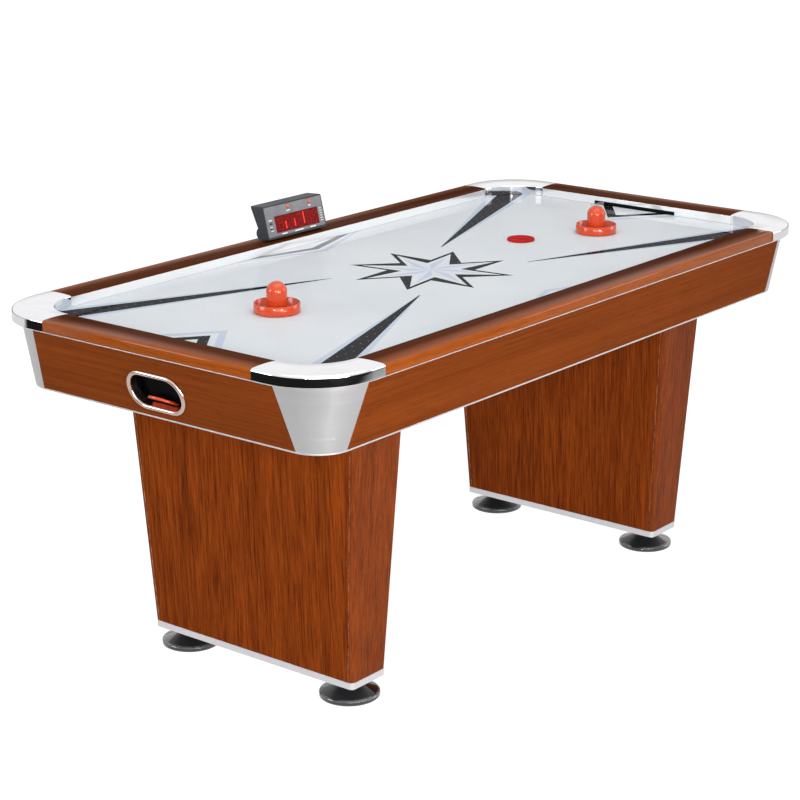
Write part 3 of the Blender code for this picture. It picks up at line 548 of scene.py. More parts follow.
# Near black for the goal slots: partly a black lining, partly painted shade.
slot_black_and_shade = moulded_finish(
    "slot_black_and_shade", (0.008, 0.008, 0.009), (0.014, 0.014, 0.015), (0.03, 0.03, 0.03), 0.62
)
foot_gloss = moulded_finish(
    "foot_gloss", (0.007, 0.007, 0.008), (0.012, 0.012, 0.013), (0.30, 0.30, 0.31), 0.08, 1.0, specular=0.6
)
mallet_orange = moulded_finish(
    "mallet_orange", (0.58, 0.058, 0.012), (0.52, 0.048, 0.010), (0.95, 0.25, 0.14),
    0.14, 0.5, specular=0.25,
)
puck_red = moulded_finish(
    "puck_red", (0.48, 0.014, 0.012), (0.40, 0.011, 0.010), (0.80, 0.10, 0.09), 0.16, 0.06, specular=0.0
)
case_charcoal = moulded_finish(
    "case_charcoal", (0.036, 0.039, 0.046), (0.028, 0.030, 0.035), (0.15, 0.155, 0.165),
    0.42, grain=1100.0, relief=0.00006,
)
face_grey = moulded_finish(
    "face_grey", (0.23, 0.23, 0.24), (0.15, 0.15, 0.16), (0.50, 0.50, 0.51), 0.55, specular=0.05
)
button_copper = moulded_finish(
    "button_copper", (0.70, 0.15, 0.06), (0.58, 0.11, 0.045), (0.90, 0.42, 0.25), 0.22, 0.4
)
print_white = moulded_finish("print_white", (0.80, 0.80, 0.80), (0.68, 0.68, 0.69), (0.85, 0.85, 0.85), 0.45)
print_black = moulded_finish(
    "print_black", (0.02, 0.02, 0.022), (0.035, 0.035, 0.037), (0.08, 0.08, 0.08), 0.45
)
felt_grey = moulded_finish(
    "felt_grey", (0.10, 0.10, 0.11), (0.06, 0.06, 0.065), (0.14, 0.14, 0.14),
    0.95, grain=2600.0, relief=0.0003,
)
print("plastics ready:", len(bpy.data.materials), "materials so far")

# %% [markdown]
# ### Display window
#
# The score display is a dark red window. Behind it the unlit segments show as faint shapes, and
# the lit ones glow. One material with masks could do it all, but window and segments are separate
# pieces, so each has a simple finish of its own with a little mottling from the board behind.


# %% Display finishes
def display_finish(name, colour, second, roughness, glow=None, strength=0.0):
    material, tree, shader, place = new_finish(
        name, roughness=roughness, coat=0.02, coat_roughness=0.06, specular=0.0
    )
    blotch = spread(tree, cloud(tree, place, 210.0, 3.0, 0.7), 0.34, 0.66)
    tree.links.new(mix_colours(tree, blotch, (*colour, 1), (*second, 1)), shader.inputs["Base Color"])
    tree.links.new(spread(tree, blotch, 0.0, 1.0, roughness, roughness + 0.12), shader.inputs["Roughness"])
    if glow:
        paler = tuple(min(1.0, c * 1.25 + 0.02) for c in glow)
        light = mix_colours(tree, blotch, (*glow, 1), (*paler, 1))
        tree.links.new(light, shader.inputs["Emission Color"])
        shader.inputs["Emission Strength"].default_value = strength
    raise_surface(tree, shader, blotch, 0.00002, 0.3)
    return material


window_red = display_finish("window_red", (0.230, 0.011, 0.010), (0.100, 0.007, 0.008), 0.14)
segment_off = display_finish("segment_off", (0.30, 0.022, 0.020), (0.17, 0.012, 0.012), 0.22)
segment_lit = display_finish(
    "segment_lit", (0.80, 0.03, 0.02), (0.70, 0.02, 0.02), 0.20, (1.0, 0.045, 0.02), 0.9
)
print("display finishes ready")

# %% [markdown]
# ## Modelling helpers
#
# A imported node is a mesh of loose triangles. To soften its edges we copy it, merge its points,
# dissolve the flat triangles back into whole faces, and bevel what is left. Every new bevel face
# is marked with the edge attribute for the rubbing above. Round parts are made afresh instead: a
# profile is spun, or matching outlines are bridged, because a shiny part shows the flats of a
# coarse one.


# %% Copy, soften and lathe
def merged_copy(node):
    """A CAD node's mesh with its points merged and its flat triangles joined."""
    bm = bmesh.new()
    bm.from_mesh(frame["nodes"][node].data)
    bmesh.ops.remove_doubles(bm, verts=bm.verts, dist=2e-6)
    bmesh.ops.dissolve_limit(bm, angle_limit=math.radians(0.5), verts=bm.verts, edges=bm.edges)
    return bm


def soften(bm, width, segments=2, angle=25.0, wanted=None):
    """Rounds every edge sharper than an angle, and marks the new faces as rubbed edges."""
    layer = bm.faces.layers.float.get("edge") or bm.faces.layers.float.new("edge")
    sharp = [
        e for e in bm.edges
        if len(e.link_faces) == 2
        and math.degrees(e.calc_face_angle(0.0)) > angle
        and (wanted is None or wanted(e))
    ]
    made = bmesh.ops.bevel(
        bm, geom=sharp, offset=width, segments=segments, affect="EDGES", profile=0.5, material=-1,
        clamp_overlap=True,
    )
    for face in made["faces"]:
        face[layer] = 1.0
    return bm


def turn_on_lathe(profile, steps, width=0.0, segments=2, angle=25.0):
    """Spins an (r, z) profile once round the Z axis and rounds the corners that it makes."""
    bm = bmesh.new()
    verts = [bm.verts.new((r, 0.0, z)) for r, z in profile]
    edges = [bm.edges.new(pair) for pair in zip(verts, verts[1:])]
    bmesh.ops.spin(
        bm, geom=verts + edges, cent=(0, 0, 0), axis=(0, 0, 1), angle=math.tau, steps=steps,
        use_merge=True, use_duplicate=False,
    )
    bmesh.ops.remove_doubles(bm, verts=bm.verts, dist=1e-6)
    bmesh.ops.recalc_face_normals(bm, faces=bm.faces)
    return soften(bm, width, segments, angle) if width else bm


def bridge_through(sections, closed=False):
    """A skin over closed outlines, made by bridging each one to the next."""
    bm = bmesh.new()
    rings = []
    for section in sections:
        verts = [bm.verts.new(point) for point in section]
        rings.append([bm.edges.new((a, b)) for a, b in zip(verts, verts[1:] + verts[:1])])
    pairs = list(zip(rings, rings[1:])) + ([(rings[-1], rings[0])] if closed else [])
    for first, second in pairs:
        bmesh.ops.bridge_loops(bm, edges=first + second)
    if not closed:
        for ring in (rings[0], rings[-1]):
            bmesh.ops.contextual_create(bm, geom=ring)
    bmesh.ops.recalc_face_normals(bm, faces=bm.faces)
    return bm


def put(bm, matrix):
    bmesh.ops.transform(bm, matrix=matrix, verts=bm.verts)
    return bm


# %% [markdown]
# A finished mesh becomes a piece: it is shaded smooth except at sharp corners, it rides on the
# body that it belongs to, and it may stand for a CAD node. The Weighted Normal modifier keeps
# large flat faces flat beside small rounded edges.


# %% Make a piece
def make_piece(bm, name, body, finishes, stands_for=(), sharp=40.0, weighted=True):
    for face in bm.faces:
        face.smooth = True
    for edge in bm.edges:
        edge.smooth = len(edge.link_faces) != 2 or math.degrees(edge.calc_face_angle(0.0)) < sharp
    mesh = bpy.data.meshes.new(name)
    bm.to_mesh(mesh)
    bm.free()
    for finish in finishes if isinstance(finishes, (list, tuple)) else [finishes]:
        mesh.materials.append(finish)
    piece = bpy.data.objects.new(name, mesh)
    bpy.context.scene.collection.objects.link(piece)
    if weighted:
        evened = piece.modifiers.new("even_faces", "WEIGHTED_NORMAL")
        evened.mode = "FACE_AREA"
        evened.keep_sharp = True
    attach(piece, body)
    if stands_for:
        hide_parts(*stands_for)
    return piece


def refine(node, name, finish, width=0.0005, segments=2, angle=25.0, sharp=40.0):
    """A softened copy of one CAD node, standing for it on its own body."""
    bm = soften(merged_copy(node), width, segments, angle)
    return make_piece(bm, name, body_of_node[node], finish, (node,), sharp)


CORNERS = {"sw": (-1, -1), "se": (1, -1), "nw": (-1, 1), "ne": (1, 1)}
SIDES = {"west": -1, "east": 1}
LONG_SIDES = {"south": -1, "north": 1}
HALF_LONG, HALF_WIDE = cad_high.x, cad_high.y
print("half length and width:", round(HALF_LONG, 4), round(HALF_WIDE, 4))

# %% [markdown]
# ## Cabinet boards
#
# The four aprons lean in towards the bottom, and the pedestal legs are boxes of four boards.
# Their shapes are right already, so nothing is rebuilt: each gets a copy with softly rounded
# edges, because no real board has a perfectly sharp one, and the grain runs the way it was
# laminated. The end aprons are near black on the inside, partly as a black lining and partly as
# painted shade for the dark cabinet seen through the goal slots.

# %% Aprons, walls and trims
for side in LONG_SIDES:
    refine(f"apron_{side}", f"{side}_apron_board", side_foil, 0.0007)
    refine(f"liner_{side}", f"{side}_wall_board", wall_board, 0.0004)
for side, sign in SIDES.items():
    bm = merged_copy(f"apron_{side}")
    for face in bm.faces:
        faces_inwards = face.normal.x * sign < -0.5
        face.material_index = int(faces_inwards)
    soften(bm, 0.0007)
    # Inward faces take the near-black slot finish: partly lining, partly painted shade seen through the goal
    # slots.
    finishes = (end_foil, slot_black_and_shade)
    make_piece(bm, f"{side}_apron_board", "cabinet", finishes, (f"apron_{side}",))
    refine(f"liner_{side}", f"{side}_wall_board", wall_board, 0.0004)
refine("rail_trim", "rail_trim_band", trim_aluminium, 0.0003, 2)
refine("apron_trim", "apron_trim_band", trim_aluminium, 0.0004, 2)
print("cabinet boards done")

# %% Pedestal legs
for side in SIDES:
    for board in ("outer", "inner"):
        refine(f"leg_{side}_{board}", f"{side}_leg_{board}_board", leg_foil, 0.0005)
    for facing in LONG_SIDES:
        node, name = f"leg_{side}_{facing}", f"{side}_leg_{facing}_edge"
        refine(node, name, leg_edge_foil, 0.0008, 2, 32.0)
    refine(f"leg_{side}_base", f"{side}_leg_base_plate", trim_aluminium, 0.0010, 3, 32.0)
print("legs done")

# %% [markdown]
# ## Rails
#
# A rail is a moulded top with a round outer shoulder and a near-sharp inner lip. It could be
# swept along a curve again, but the imported shape is exact, so a softened copy is kept. It is then
# split lengthwise at a few depths, only so that the crown value can change smoothly across it.
# The end rails have a slot under the lip for the goal, and the faces inside it are near black,
# partly as a black lining and partly as painted shade.

# %% Rails
RAIL_WIDTH = 0.073
SHOULDER_Z = 0.799
CROWN_START, CROWN_SPAN = 0.004, 0.036
CROWN_STEPS = (0.010, 0.026, 0.033, 0.050)
GOAL_HALF = 0.1216
GOAL_ROOF_Z = 0.7881
GOAL_DEPTHS = (0.0042, 0.0447)


def mark_crown(bm, reach):
    """Writes how far each point lies over the rail's shoulder, from 0 outside to 1 on its top, where shade
    is painted darkest.
    """
    layer = bm.verts.layers.float.new("crown")
    for vert in bm.verts:
        share = (reach(vert.co) - CROWN_START) / CROWN_SPAN
        vert[layer] = min(1.0, max(0.0, share)) if vert.co.z > SHOULDER_Z else 0.0


def divide_top(bm, direction, half):
    """Splits the rail lengthwise, so that the crown can change smoothly across it."""
    for depth in CROWN_STEPS:
        bmesh.ops.bisect_plane(
            bm, geom=bm.verts[:] + bm.edges[:] + bm.faces[:], dist=1e-6,
            plane_co=direction * (half - depth), plane_no=direction,
        )


def in_goal_slot(face, sign):
    """True for the faces inside an end rail's slot."""
    middle = face.calc_center_median()
    depth = (middle.x - sign * (HALF_LONG - RAIL_WIDTH)) * sign
    within = abs(middle.y) <= GOAL_HALF + 1e-4 and middle.z <= GOAL_ROOF_Z
    return within and GOAL_DEPTHS[0] < depth < GOAL_DEPTHS[1]


for side, sign in LONG_SIDES.items():
    bm = soften(merged_copy(f"rail_{side}"), 0.0004, 2, 38.0)
    divide_top(bm, Vector((0, sign, 0)), HALF_WIDE)
    mark_crown(bm, lambda point: HALF_WIDE - point.y * sign)
    name, node = f"{side}_rail_moulding", f"rail_{side}"
    make_piece(bm, name, "cabinet", rail_foil_x, (node,), weighted=False)
for side, sign in SIDES.items():
    bm = merged_copy(f"rail_{side}")
    # Faces inside the goal slot take the near-black finish: partly lining, partly painted shade.
    for face in bm.faces:
        if in_goal_slot(face, sign):
            face.material_index = 1
    soften(bm, 0.0004, 2, 38.0)
    divide_top(bm, Vector((sign, 0, 0)), HALF_LONG)
    mark_crown(bm, lambda point: HALF_LONG - point.x * sign)
    name, node, finishes = f"{side}_rail_moulding", f"rail_{side}", (rail_foil_y, slot_black_and_shade)
    make_piece(bm, name, "cabinet", finishes, (node,), weighted=False)
print("rails done")

# %% [markdown]
# ## Chrome corner caps
#
# Each cap bends round the corner, with a tight inner curve and a wide outer one whose centres
# differ, so no single spin makes it. Instead one rounded section is set up at many stations round
# the corner, and each is bridged to the next. A mirror finish shows every facet, so the shoulders
# have many small steps. Under it stands the brushed shell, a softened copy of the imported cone.

# %% Corner caps
CAP_LEG, CAP_OUTER_R, CAP_WIDTH = 0.180, 0.1415, RAIL_WIDTH
CAP_INNER_R = CAP_LEG - CAP_WIDTH
SHOULDER_DEEP, SHOULDER_TALL, LIP_R = 0.0052, 0.0058, 0.0028
LIP_START = CAP_WIDTH - LIP_R
CAP_SIDE_Z, CAP_LIP_Z, CAP_TOP_Z = 0.7965, 0.7995, 0.8023


def cap_section():
    """(depth, height) round the cap: up its outer face, over a soft crown, and down inside."""
    points = [(0.0, 0.7790), (0.0, 0.7840), (0.0, 0.7915), (0.0, CAP_SIDE_Z)]
    for i in range(1, 11):
        angle = math.pi / 2 * i / 10
        depth = SHOULDER_DEEP * (1 - math.cos(angle))
        points.append((depth, CAP_SIDE_Z + SHOULDER_TALL * math.sin(angle)))
    for i in range(1, 12):
        share = i / 12
        crown = 0.0013 * math.sin(math.pi * min(1.0, share * 1.02)) ** 0.8
        points.append((SHOULDER_DEEP + (LIP_START - SHOULDER_DEEP) * share, CAP_TOP_Z + crown))
    for i in range(9):
        angle = math.pi / 2 * i / 8
        points.append((LIP_START + LIP_R * math.sin(angle), CAP_LIP_Z + LIP_R * math.cos(angle)))
    return points + [(CAP_WIDTH, 0.7900), (CAP_WIDTH, 0.7786), (0.0680, 0.7786), (0.0680, 0.7790)]


def cap_stations(count=56):
    """Matching points on a cap's outer and inner edges, from the long side to the end."""
    straight = CAP_LEG - CAP_OUTER_R
    total = 2 * straight + CAP_OUTER_R * math.pi / 2
    centre = (HALF_LONG - CAP_OUTER_R, HALF_WIDE - CAP_OUTER_R)
    for i in range(count + 1):
        run = total * i / count
        if run <= straight:
            outer = (HALF_LONG - CAP_LEG + run, HALF_WIDE)
        elif run >= total - straight:
            outer = (HALF_LONG, HALF_WIDE - CAP_LEG + total - run)
        else:
            angle = math.pi / 2 - (run - straight) / CAP_OUTER_R
            reach = (CAP_OUTER_R * math.cos(angle), CAP_OUTER_R * math.sin(angle))
            outer = (centre[0] + reach[0], centre[1] + reach[1])
        bend = math.pi / 2 * (1 - i / count)
        yield outer, (
            HALF_LONG - CAP_LEG + CAP_INNER_R * math.cos(bend),
            HALF_WIDE - CAP_LEG + CAP_INNER_R * math.sin(bend),
        )


for corner, (sx, sy) in CORNERS.items():
    sections = []
    for outer, inner in cap_stations():
        ends = Vector((sx * outer[0], sy * outer[1])), Vector((sx * inner[0], sy * inner[1]))
        section = []
        for depth, z in cap_section():
            point = ends[0].lerp(ends[1], depth / CAP_WIDTH)
            section.append((point.x, point.y, z))
        sections.append(section)
    bm = soften(bridge_through(sections), 0.0005, 2, 50.0)
    make_piece(bm, f"{corner}_corner_cap", "cabinet", chrome, (f"corner_cap_{corner}",), 35.0)
    node, name = f"corner_cone_{corner}", f"{corner}_corner_shell"
    refine(node, name, shell_aluminium, 0.0006, 2, 35.0)
print("corners done:", list(CORNERS))

# %% [markdown]
# ## Playfield
#
# The printed shapes are cut into the top face itself. Thin plates laid on top would catch the
# light at their edges. For each straight border of a shape the faces near it are split by a
# plane, and then every face whose middle lies inside the shape takes its ink. Shapes are laid
# down in order, as a printer lays one colour over another. The star has eight points, and each
# point has one broad dark side and one thin one, so the star seems to turn.


# %% Print a shape on the top
def inside(point, outline):
    """True where a point lies inside an outline, counting the borders to one side of it."""
    hits = False
    for a, b in zip(outline, outline[1:] + outline[:1]):
        if (a[1] > point[1]) != (b[1] > point[1]):
            hits ^= point[0] < a[0] + (point[1] - a[1]) / (b[1] - a[1]) * (b[0] - a[0])
    return hits


def print_shape(bm, top, outline, ink):
    low = [min(p[i] for p in outline) for i in (0, 1)]
    high = [max(p[i] for p in outline) for i in (0, 1)]

    def near():
        found = []
        for face in bm.faces:
            if face.normal.z < 0.9 or abs(face.verts[0].co.z - top) > 1e-5:
                continue
            xs = [v.co.x for v in face.verts]
            ys = [v.co.y for v in face.verts]
            if max(xs) > low[0] and min(xs) < high[0] and max(ys) > low[1] and min(ys) < high[1]:
                found.append(face)
        return found

    for a, b in zip(outline, outline[1:] + outline[:1]):
        along = Vector((b[0] - a[0], b[1] - a[1], 0)).normalized()
        faces = near()
        borders = {v for f in faces for v in f.verts} | {e for f in faces for e in f.edges}
        bmesh.ops.bisect_plane(
            bm, geom=list(borders) + faces, dist=1e-6,
            plane_co=(a[0], a[1], top), plane_no=(along.y, -along.x, 0),
        )
    layer = bm.faces.layers.float["ink"]
    for face in near():
        if inside(face.calc_center_median(), outline):
            face[layer] = ink


def polar(radius, degrees):
    angle = math.radians(degrees)
    return (radius * math.cos(angle), radius * math.sin(angle))


# %% Playfield
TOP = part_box("playfield_panel")[1].z
bm = merged_copy("playfield_panel")
bm.faces.layers.float.new("edge")
bm.faces.layers.float.new("ink")
SPEAR_TIP = (0.176, 0.1165)
SPEAR_REACH = 0.72
SPEARS = ((0.315, 0.487, INK_ICE), (0.344, 0.452, INK_COAL))
for sx, sy in CORNERS.values():
    for first, second, ink in SPEARS:
        far_x, tip_y = SPEAR_TIP[0] + SPEAR_REACH, SPEAR_TIP[1]
        outline = [SPEAR_TIP, (far_x, tip_y + SPEAR_REACH * first), (far_x, tip_y + SPEAR_REACH * second)]
        print_shape(bm, TOP, [(sx * x, sy * y) for x, y in outline], ink)
GOAL_LINE_X, CHEVRON_SLOPE = 0.90, 0.78
END_CHEVRONS = ((0.671, INK_ICE), (0.698, INK_WHITE), (0.722, INK_COAL), (0.759, INK_WHITE))
for sx in (-1, 1):
    for near_x, ink in END_CHEVRONS:
        half = (GOAL_LINE_X - near_x) * CHEVRON_SLOPE
        outline = [(near_x, 0.0), (GOAL_LINE_X, half), (GOAL_LINE_X, -half)]
        print_shape(bm, TOP, [(sx * x, y) for x, y in outline], ink)
SIDE_LINE_Y = 0.398
SIDE_CHEVRONS = (
    (0.224, 0.313, INK_ICE), (0.205, 0.327, INK_WHITE), (0.192, 0.342, INK_GREY), (0.140, 0.361, INK_WHITE),
)
for sy in (-1, 1):
    for half, near_y, ink in SIDE_CHEVRONS:
        outline = [(-half, SIDE_LINE_Y), (0.004, near_y), (half, SIDE_LINE_Y)]
        print_shape(bm, TOP, [(x, sy * y) for x, y in outline], ink)
print("spears and chevrons printed:", len(bm.faces), "faces")

# %% Star in the middle
square = [(-0.2, -0.2), (0.2, -0.2), (0.2, 0.2), (-0.2, 0.2)]
print_shape(bm, TOP, square, INK_WHITE)
tips = [22.5 + 45 * k for k in range(8)]
dark_star = [p for a in tips for p in (polar(0.0995, a - 29.0), polar(0.194, a))]
pale_star = [p for a in tips for p in (polar(0.068, a - 22.5), polar(0.166, a - 0.6))]
print_shape(bm, TOP, dark_star, INK_COAL)
print_shape(bm, TOP, pale_star, INK_WHITE)
for a in tips:
    print_shape(bm, TOP, [(0, 0), polar(0.135, a - 0.6), polar(0.052, a + 19.0)], INK_ICE)
    print_shape(bm, TOP, [(0, 0), polar(0.110, a - 0.6), polar(0.050, a - 20.0)], INK_LILAC)
node = "playfield_panel"
make_piece(bm, "playfield_board", "cabinet", playfield_print, (node,), weighted=False)
print("star printed")

# %% [markdown]
# ## Puck return
#
# A polished bead runs round each opening, and behind it a black cup catches the puck. A bevelled
# curve would give a full round tube. The real ring is half round with a lip that reaches into the
# hole, so that section is set up along a path of two straights and two half circles, and bridged.


# %% Rings and cups
RAIL_OVERHANG, LEAN_TOP_Z, END_LEAN = 0.0116, 0.7730, 0.299
RING_Z = 0.6949
RING_INNER, RING_OUTER, RING_STRAIGHT = 0.0345, 0.0448, 0.0345
RING_STEPS = 28


def end_frame(sign):
    """Local directions on an end apron: u across the table, v up its slope, w straight out."""
    slope = math.atan(END_LEAN)
    u = Vector((0, sign, 0))
    v = Vector((sign * math.sin(slope), 0, math.cos(slope)))
    w = Vector((sign * math.cos(slope), 0, -math.sin(slope)))
    matrix = Matrix((u, v, w)).transposed().to_4x4()
    face_x = HALF_LONG - RAIL_OVERHANG - END_LEAN * (LEAN_TOP_Z - RING_Z)
    matrix.translation = Vector((sign * face_x, 0, RING_Z))
    return matrix


bead = [(RING_INNER, -0.0110), (RING_INNER, 0.0010)]
middle, half = (RING_INNER + RING_OUTER) / 2, (RING_OUTER - RING_INNER) / 2
for i in range(15):
    angle = math.pi * i / 14
    bead.append((middle - half * math.cos(angle), 0.0014 + 0.0054 * math.sin(angle)))
bead += [(RING_OUTER, 0.0005), (RING_INNER + 0.0016, 0.0005), (RING_INNER + 0.0016, -0.0110)]
for side, sign in SIDES.items():
    sections = []
    for centre, start in ((RING_STRAIGHT, -math.pi / 2), (-RING_STRAIGHT, math.pi / 2)):
        for i in range(RING_STEPS + 1):
            angle = start + math.pi * i / RING_STEPS
            sections.append([(centre + r * math.cos(angle), r * math.sin(angle), w) for r, w in bead])
    bm = put(bridge_through(sections, closed=True), end_frame(sign))
    bm.faces.layers.float.new("edge")
    node = f"return_ring_{side}"
    make_piece(bm, f"{side}_return_ring", "cabinet", ring_nickel, (node,), 45.0)
    refine(f"return_cup_{side}", f"{side}_return_cup", black_moulding, 0.0004, 2)
print("puck returns done")

# %% [markdown]
# ## Levelling feet
#
# A foot is a glossy black disc with a stepped rim, a low cone and a hub under the threaded stud.
# It could be stacked from cylinders and cones, but one spin of its profile leaves no joints. The
# corners of the profile are then rounded, because those small radii carry the bright lines.

# %% Feet
foot_profile = (
    (0.0, 0.0), (0.0630, 0.0), (0.0650, 0.0020), (0.0650, 0.0090), (0.0636, 0.0112),
    (0.0610, 0.0116), (0.0596, 0.0128), (0.0560, 0.0140), (0.0400, 0.0205), (0.0250, 0.0272),
    (0.0195, 0.0300), (0.0162, 0.0350), (0.0152, 0.0410), (0.0050, 0.0410), (0.0050, 0.0560),
    (0.0, 0.0560),
)


def over_node(node, z):
    """A move to the middle of a node, seen from above, at a height."""
    low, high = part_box(node)
    return Matrix.Translation(((low.x + high.x) / 2, (low.y + high.y) / 2, z))


for corner in CORNERS:
    foot = f"foot_{corner}"
    bm = put(turn_on_lathe(foot_profile, 72, 0.0006, 2, 24.0), over_node(foot, 0.0))
    make_piece(bm, f"{corner}_levelling_foot", foot, foot_gloss, (foot,), 50.0)
print("feet done")

# %% [markdown]
# ## Mallets and pucks
#
# A mallet is a thin round wall with a tall domed handle in its middle, and a felt pad under it. A
# puck is a thin disc with a shallow ring pressed into each face. All are round about one axis, so
# all are spun from half a section.

# %% Mallets
KNOB_R, MALLET_TALL = 0.0223, 0.0671
mallet_profile = [(0.0, MALLET_TALL)]
for i in range(1, 13):
    angle = math.pi / 2 * i / 12
    height = MALLET_TALL - KNOB_R + KNOB_R * math.cos(angle)
    mallet_profile.append((KNOB_R * math.sin(angle), height))
mallet_profile += [
    (0.0221, 0.0300), (0.0222, 0.0120), (0.0229, 0.0088), (0.0246, 0.0060), (0.0276, 0.0046),
    (0.0310, 0.0043), (0.0455, 0.0043), (0.0463, 0.0050), (0.0474, 0.0210), (0.0478, 0.0217),
    (0.0483, 0.0220), (0.0489, 0.0219), (0.0493, 0.0214), (0.0500, 0.0034), (0.0496, 0.0018),
    (0.0482, 0.0008), (0.0, 0.0008),
]
felt_profile = ((0.0, 0.0002), (0.0455, 0.0002), (0.0460, 0.0005), (0.0455, 0.0010), (0.0, 0.0010))
for side in SIDES:
    mallet = f"mallet_{side}"
    bm = put(turn_on_lathe(mallet_profile, 72), over_node(mallet, TOP))
    bm.faces.layers.float.new("edge")
    make_piece(bm, f"{side}_mallet", mallet, mallet_orange, (mallet,), 55.0, False)
    pad = put(turn_on_lathe(felt_profile, 48), over_node(mallet, TOP))
    make_piece(pad, f"{side}_mallet_felt", mallet, felt_grey, weighted=False)
print("mallets done")

# %% Pucks
puck_profile = (
    (0.0, 0.0004), (0.0215, 0.0004), (0.0222, 0.0), (0.0318, 0.0), (0.0326, 0.0003),
    (0.0330, 0.0009), (0.0330, 0.0043), (0.0326, 0.0049), (0.0318, 0.0052), (0.0222, 0.0052),
    (0.0215, 0.0048), (0.0, 0.0048),
)
PUCK_HALF_THICK, RETURN_TILT = 0.0026, math.radians(27.0)
puck = "puck_play"
bm = put(turn_on_lathe(puck_profile, 72), over_node(puck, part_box(puck)[0].z))
make_piece(bm, "playing_puck", puck, puck_red, (puck,), 60.0, False)
puck = "puck_return"
low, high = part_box(puck)
tilted = Matrix.Translation((low + high) / 2) @ Matrix.Rotation(RETURN_TILT, 4, "Y")
bm = put(turn_on_lathe(puck_profile, 72), tilted @ Matrix.Translation((0, 0, -PUCK_HALF_THICK)))
# The returned puck takes the brighter orange mallet finish instead of puck_red, as painted light.
make_piece(bm, "returned_puck", puck, mallet_orange, (puck,), 60.0, False)
print("pucks done")

# %% [markdown]
# ## Score unit
#
# A charcoal case leans back on a hinge bracket. Its grey face holds a red display window, two
# coppery buttons and a few printed marks. Laying these out in world directions would mean turning
# every one, so they are laid out on local directions: u along the rail, v up the face and w out
# of it.

# %% Score unit shells
SCORE_LEAN = math.radians(14.0)
FACE_FOOT = Vector((0, 0.400, 0.8096))
lean_sin, lean_cos = math.sin(SCORE_LEAN), math.cos(SCORE_LEAN)
directions = Matrix(((1, 0, 0), (0, lean_sin, lean_cos), (0, -lean_cos, lean_sin)))
score_frame = directions.transposed().to_4x4()
score_frame.translation = FACE_FOOT
refine("score_case", "score_case_shell", case_charcoal, 0.0007, 3, 30.0)
refine("score_face", "score_face_plate", face_grey, 0.0004, 2, 30.0)
refine("score_window", "score_window_lens", window_red, 0.0003, 2, 30.0)
refine("score_bracket", "score_hinge_bracket", zinc_steel, 0.0004, 2, 30.0)
refine("score_clamp_knob", "score_fixing_knob", case_charcoal, 0.0004, 2, 30.0)
print("score unit shells done")

# %% Buttons
BUTTON_R, BUTTON_SIDE, BUTTON_DOME, BUTTON_V = 0.0043, 0.0012, 0.0023, 0.0690
button_profile = [(0.0, -0.0078), (BUTTON_R, -0.0078), (BUTTON_R, BUTTON_SIDE)]
for i in range(1, 9):
    angle = math.pi / 2 * i / 8
    button_profile.append((BUTTON_R * math.cos(angle), BUTTON_SIDE + BUTTON_DOME * math.sin(angle)))
for name, u in (("left", -0.0187), ("right", 0.0570)):
    button = f"score_button_{name}"
    bm = put(turn_on_lathe(button_profile, 40), score_frame @ Matrix.Translation((u, BUTTON_V, 0.0)))
    make_piece(bm, f"{name}_score_button", button, button_copper, (button,), 50.0, False)
print("two buttons done")

# %% [markdown]
# Each digit of the display is seven bars with pointed ends. A bar starts as a flat circle with six
# corners, which is stretched along its length and pulled up into a thin plate. The lit strokes are
# longer bars that stand a little in front of the unlit ones and have a glowing finish. Printed
# marks on the face are thin plates too, which keeps their edges sharp.


# %% Display segments and printed marks
def bar_plate(length, width, low, high, pointed):
    """A thin plate along u, with pointed ends or small rounded corners."""
    bm = bmesh.new()
    if pointed:
        bmesh.ops.create_circle(bm, cap_ends=True, segments=6, radius=width / 2)
        for vert in bm.verts:
            at_side = abs(vert.co.y) > width / 4
            reach = length / 2 - width / 2 if at_side else length / 2
            vert.co.x = math.copysign(reach, vert.co.x)
            vert.co.y = math.copysign(width / 2, vert.co.y) if at_side else 0.0
    else:
        bmesh.ops.create_grid(bm, x_segments=1, y_segments=1, size=0.5)
        bmesh.ops.scale(bm, vec=(length, width, 1), verts=bm.verts)
        bmesh.ops.bevel(
            bm, geom=bm.verts, offset=width * 0.22, segments=2, affect="VERTICES", profile=0.5,
            material=-1,
        )
    grown = bmesh.ops.extrude_face_region(bm, geom=bm.faces[:])
    lifted = [g for g in grown["geom"] if isinstance(g, bmesh.types.BMVert)]
    bmesh.ops.translate(bm, verts=lifted, vec=(0, 0, high - low))
    bmesh.ops.translate(bm, verts=bm.verts, vec=(0, 0, low))
    bmesh.ops.recalc_face_normals(bm, faces=bm.faces)
    return bm


def gather(bms):
    """Puts several small meshes in one."""
    whole = bmesh.new()
    for bm in bms:
        scrap = bpy.data.meshes.new("scrap")
        bm.to_mesh(scrap)
        bm.free()
        whole.from_mesh(scrap)
        bpy.data.meshes.remove(scrap)
    return whole


def standing(u, v, upright=False):
    turned = Matrix.Rotation(math.pi / 2, 4, "Z") if upright else Matrix.Identity(4)
    return score_frame @ Matrix.Translation((u, v, 0)) @ turned


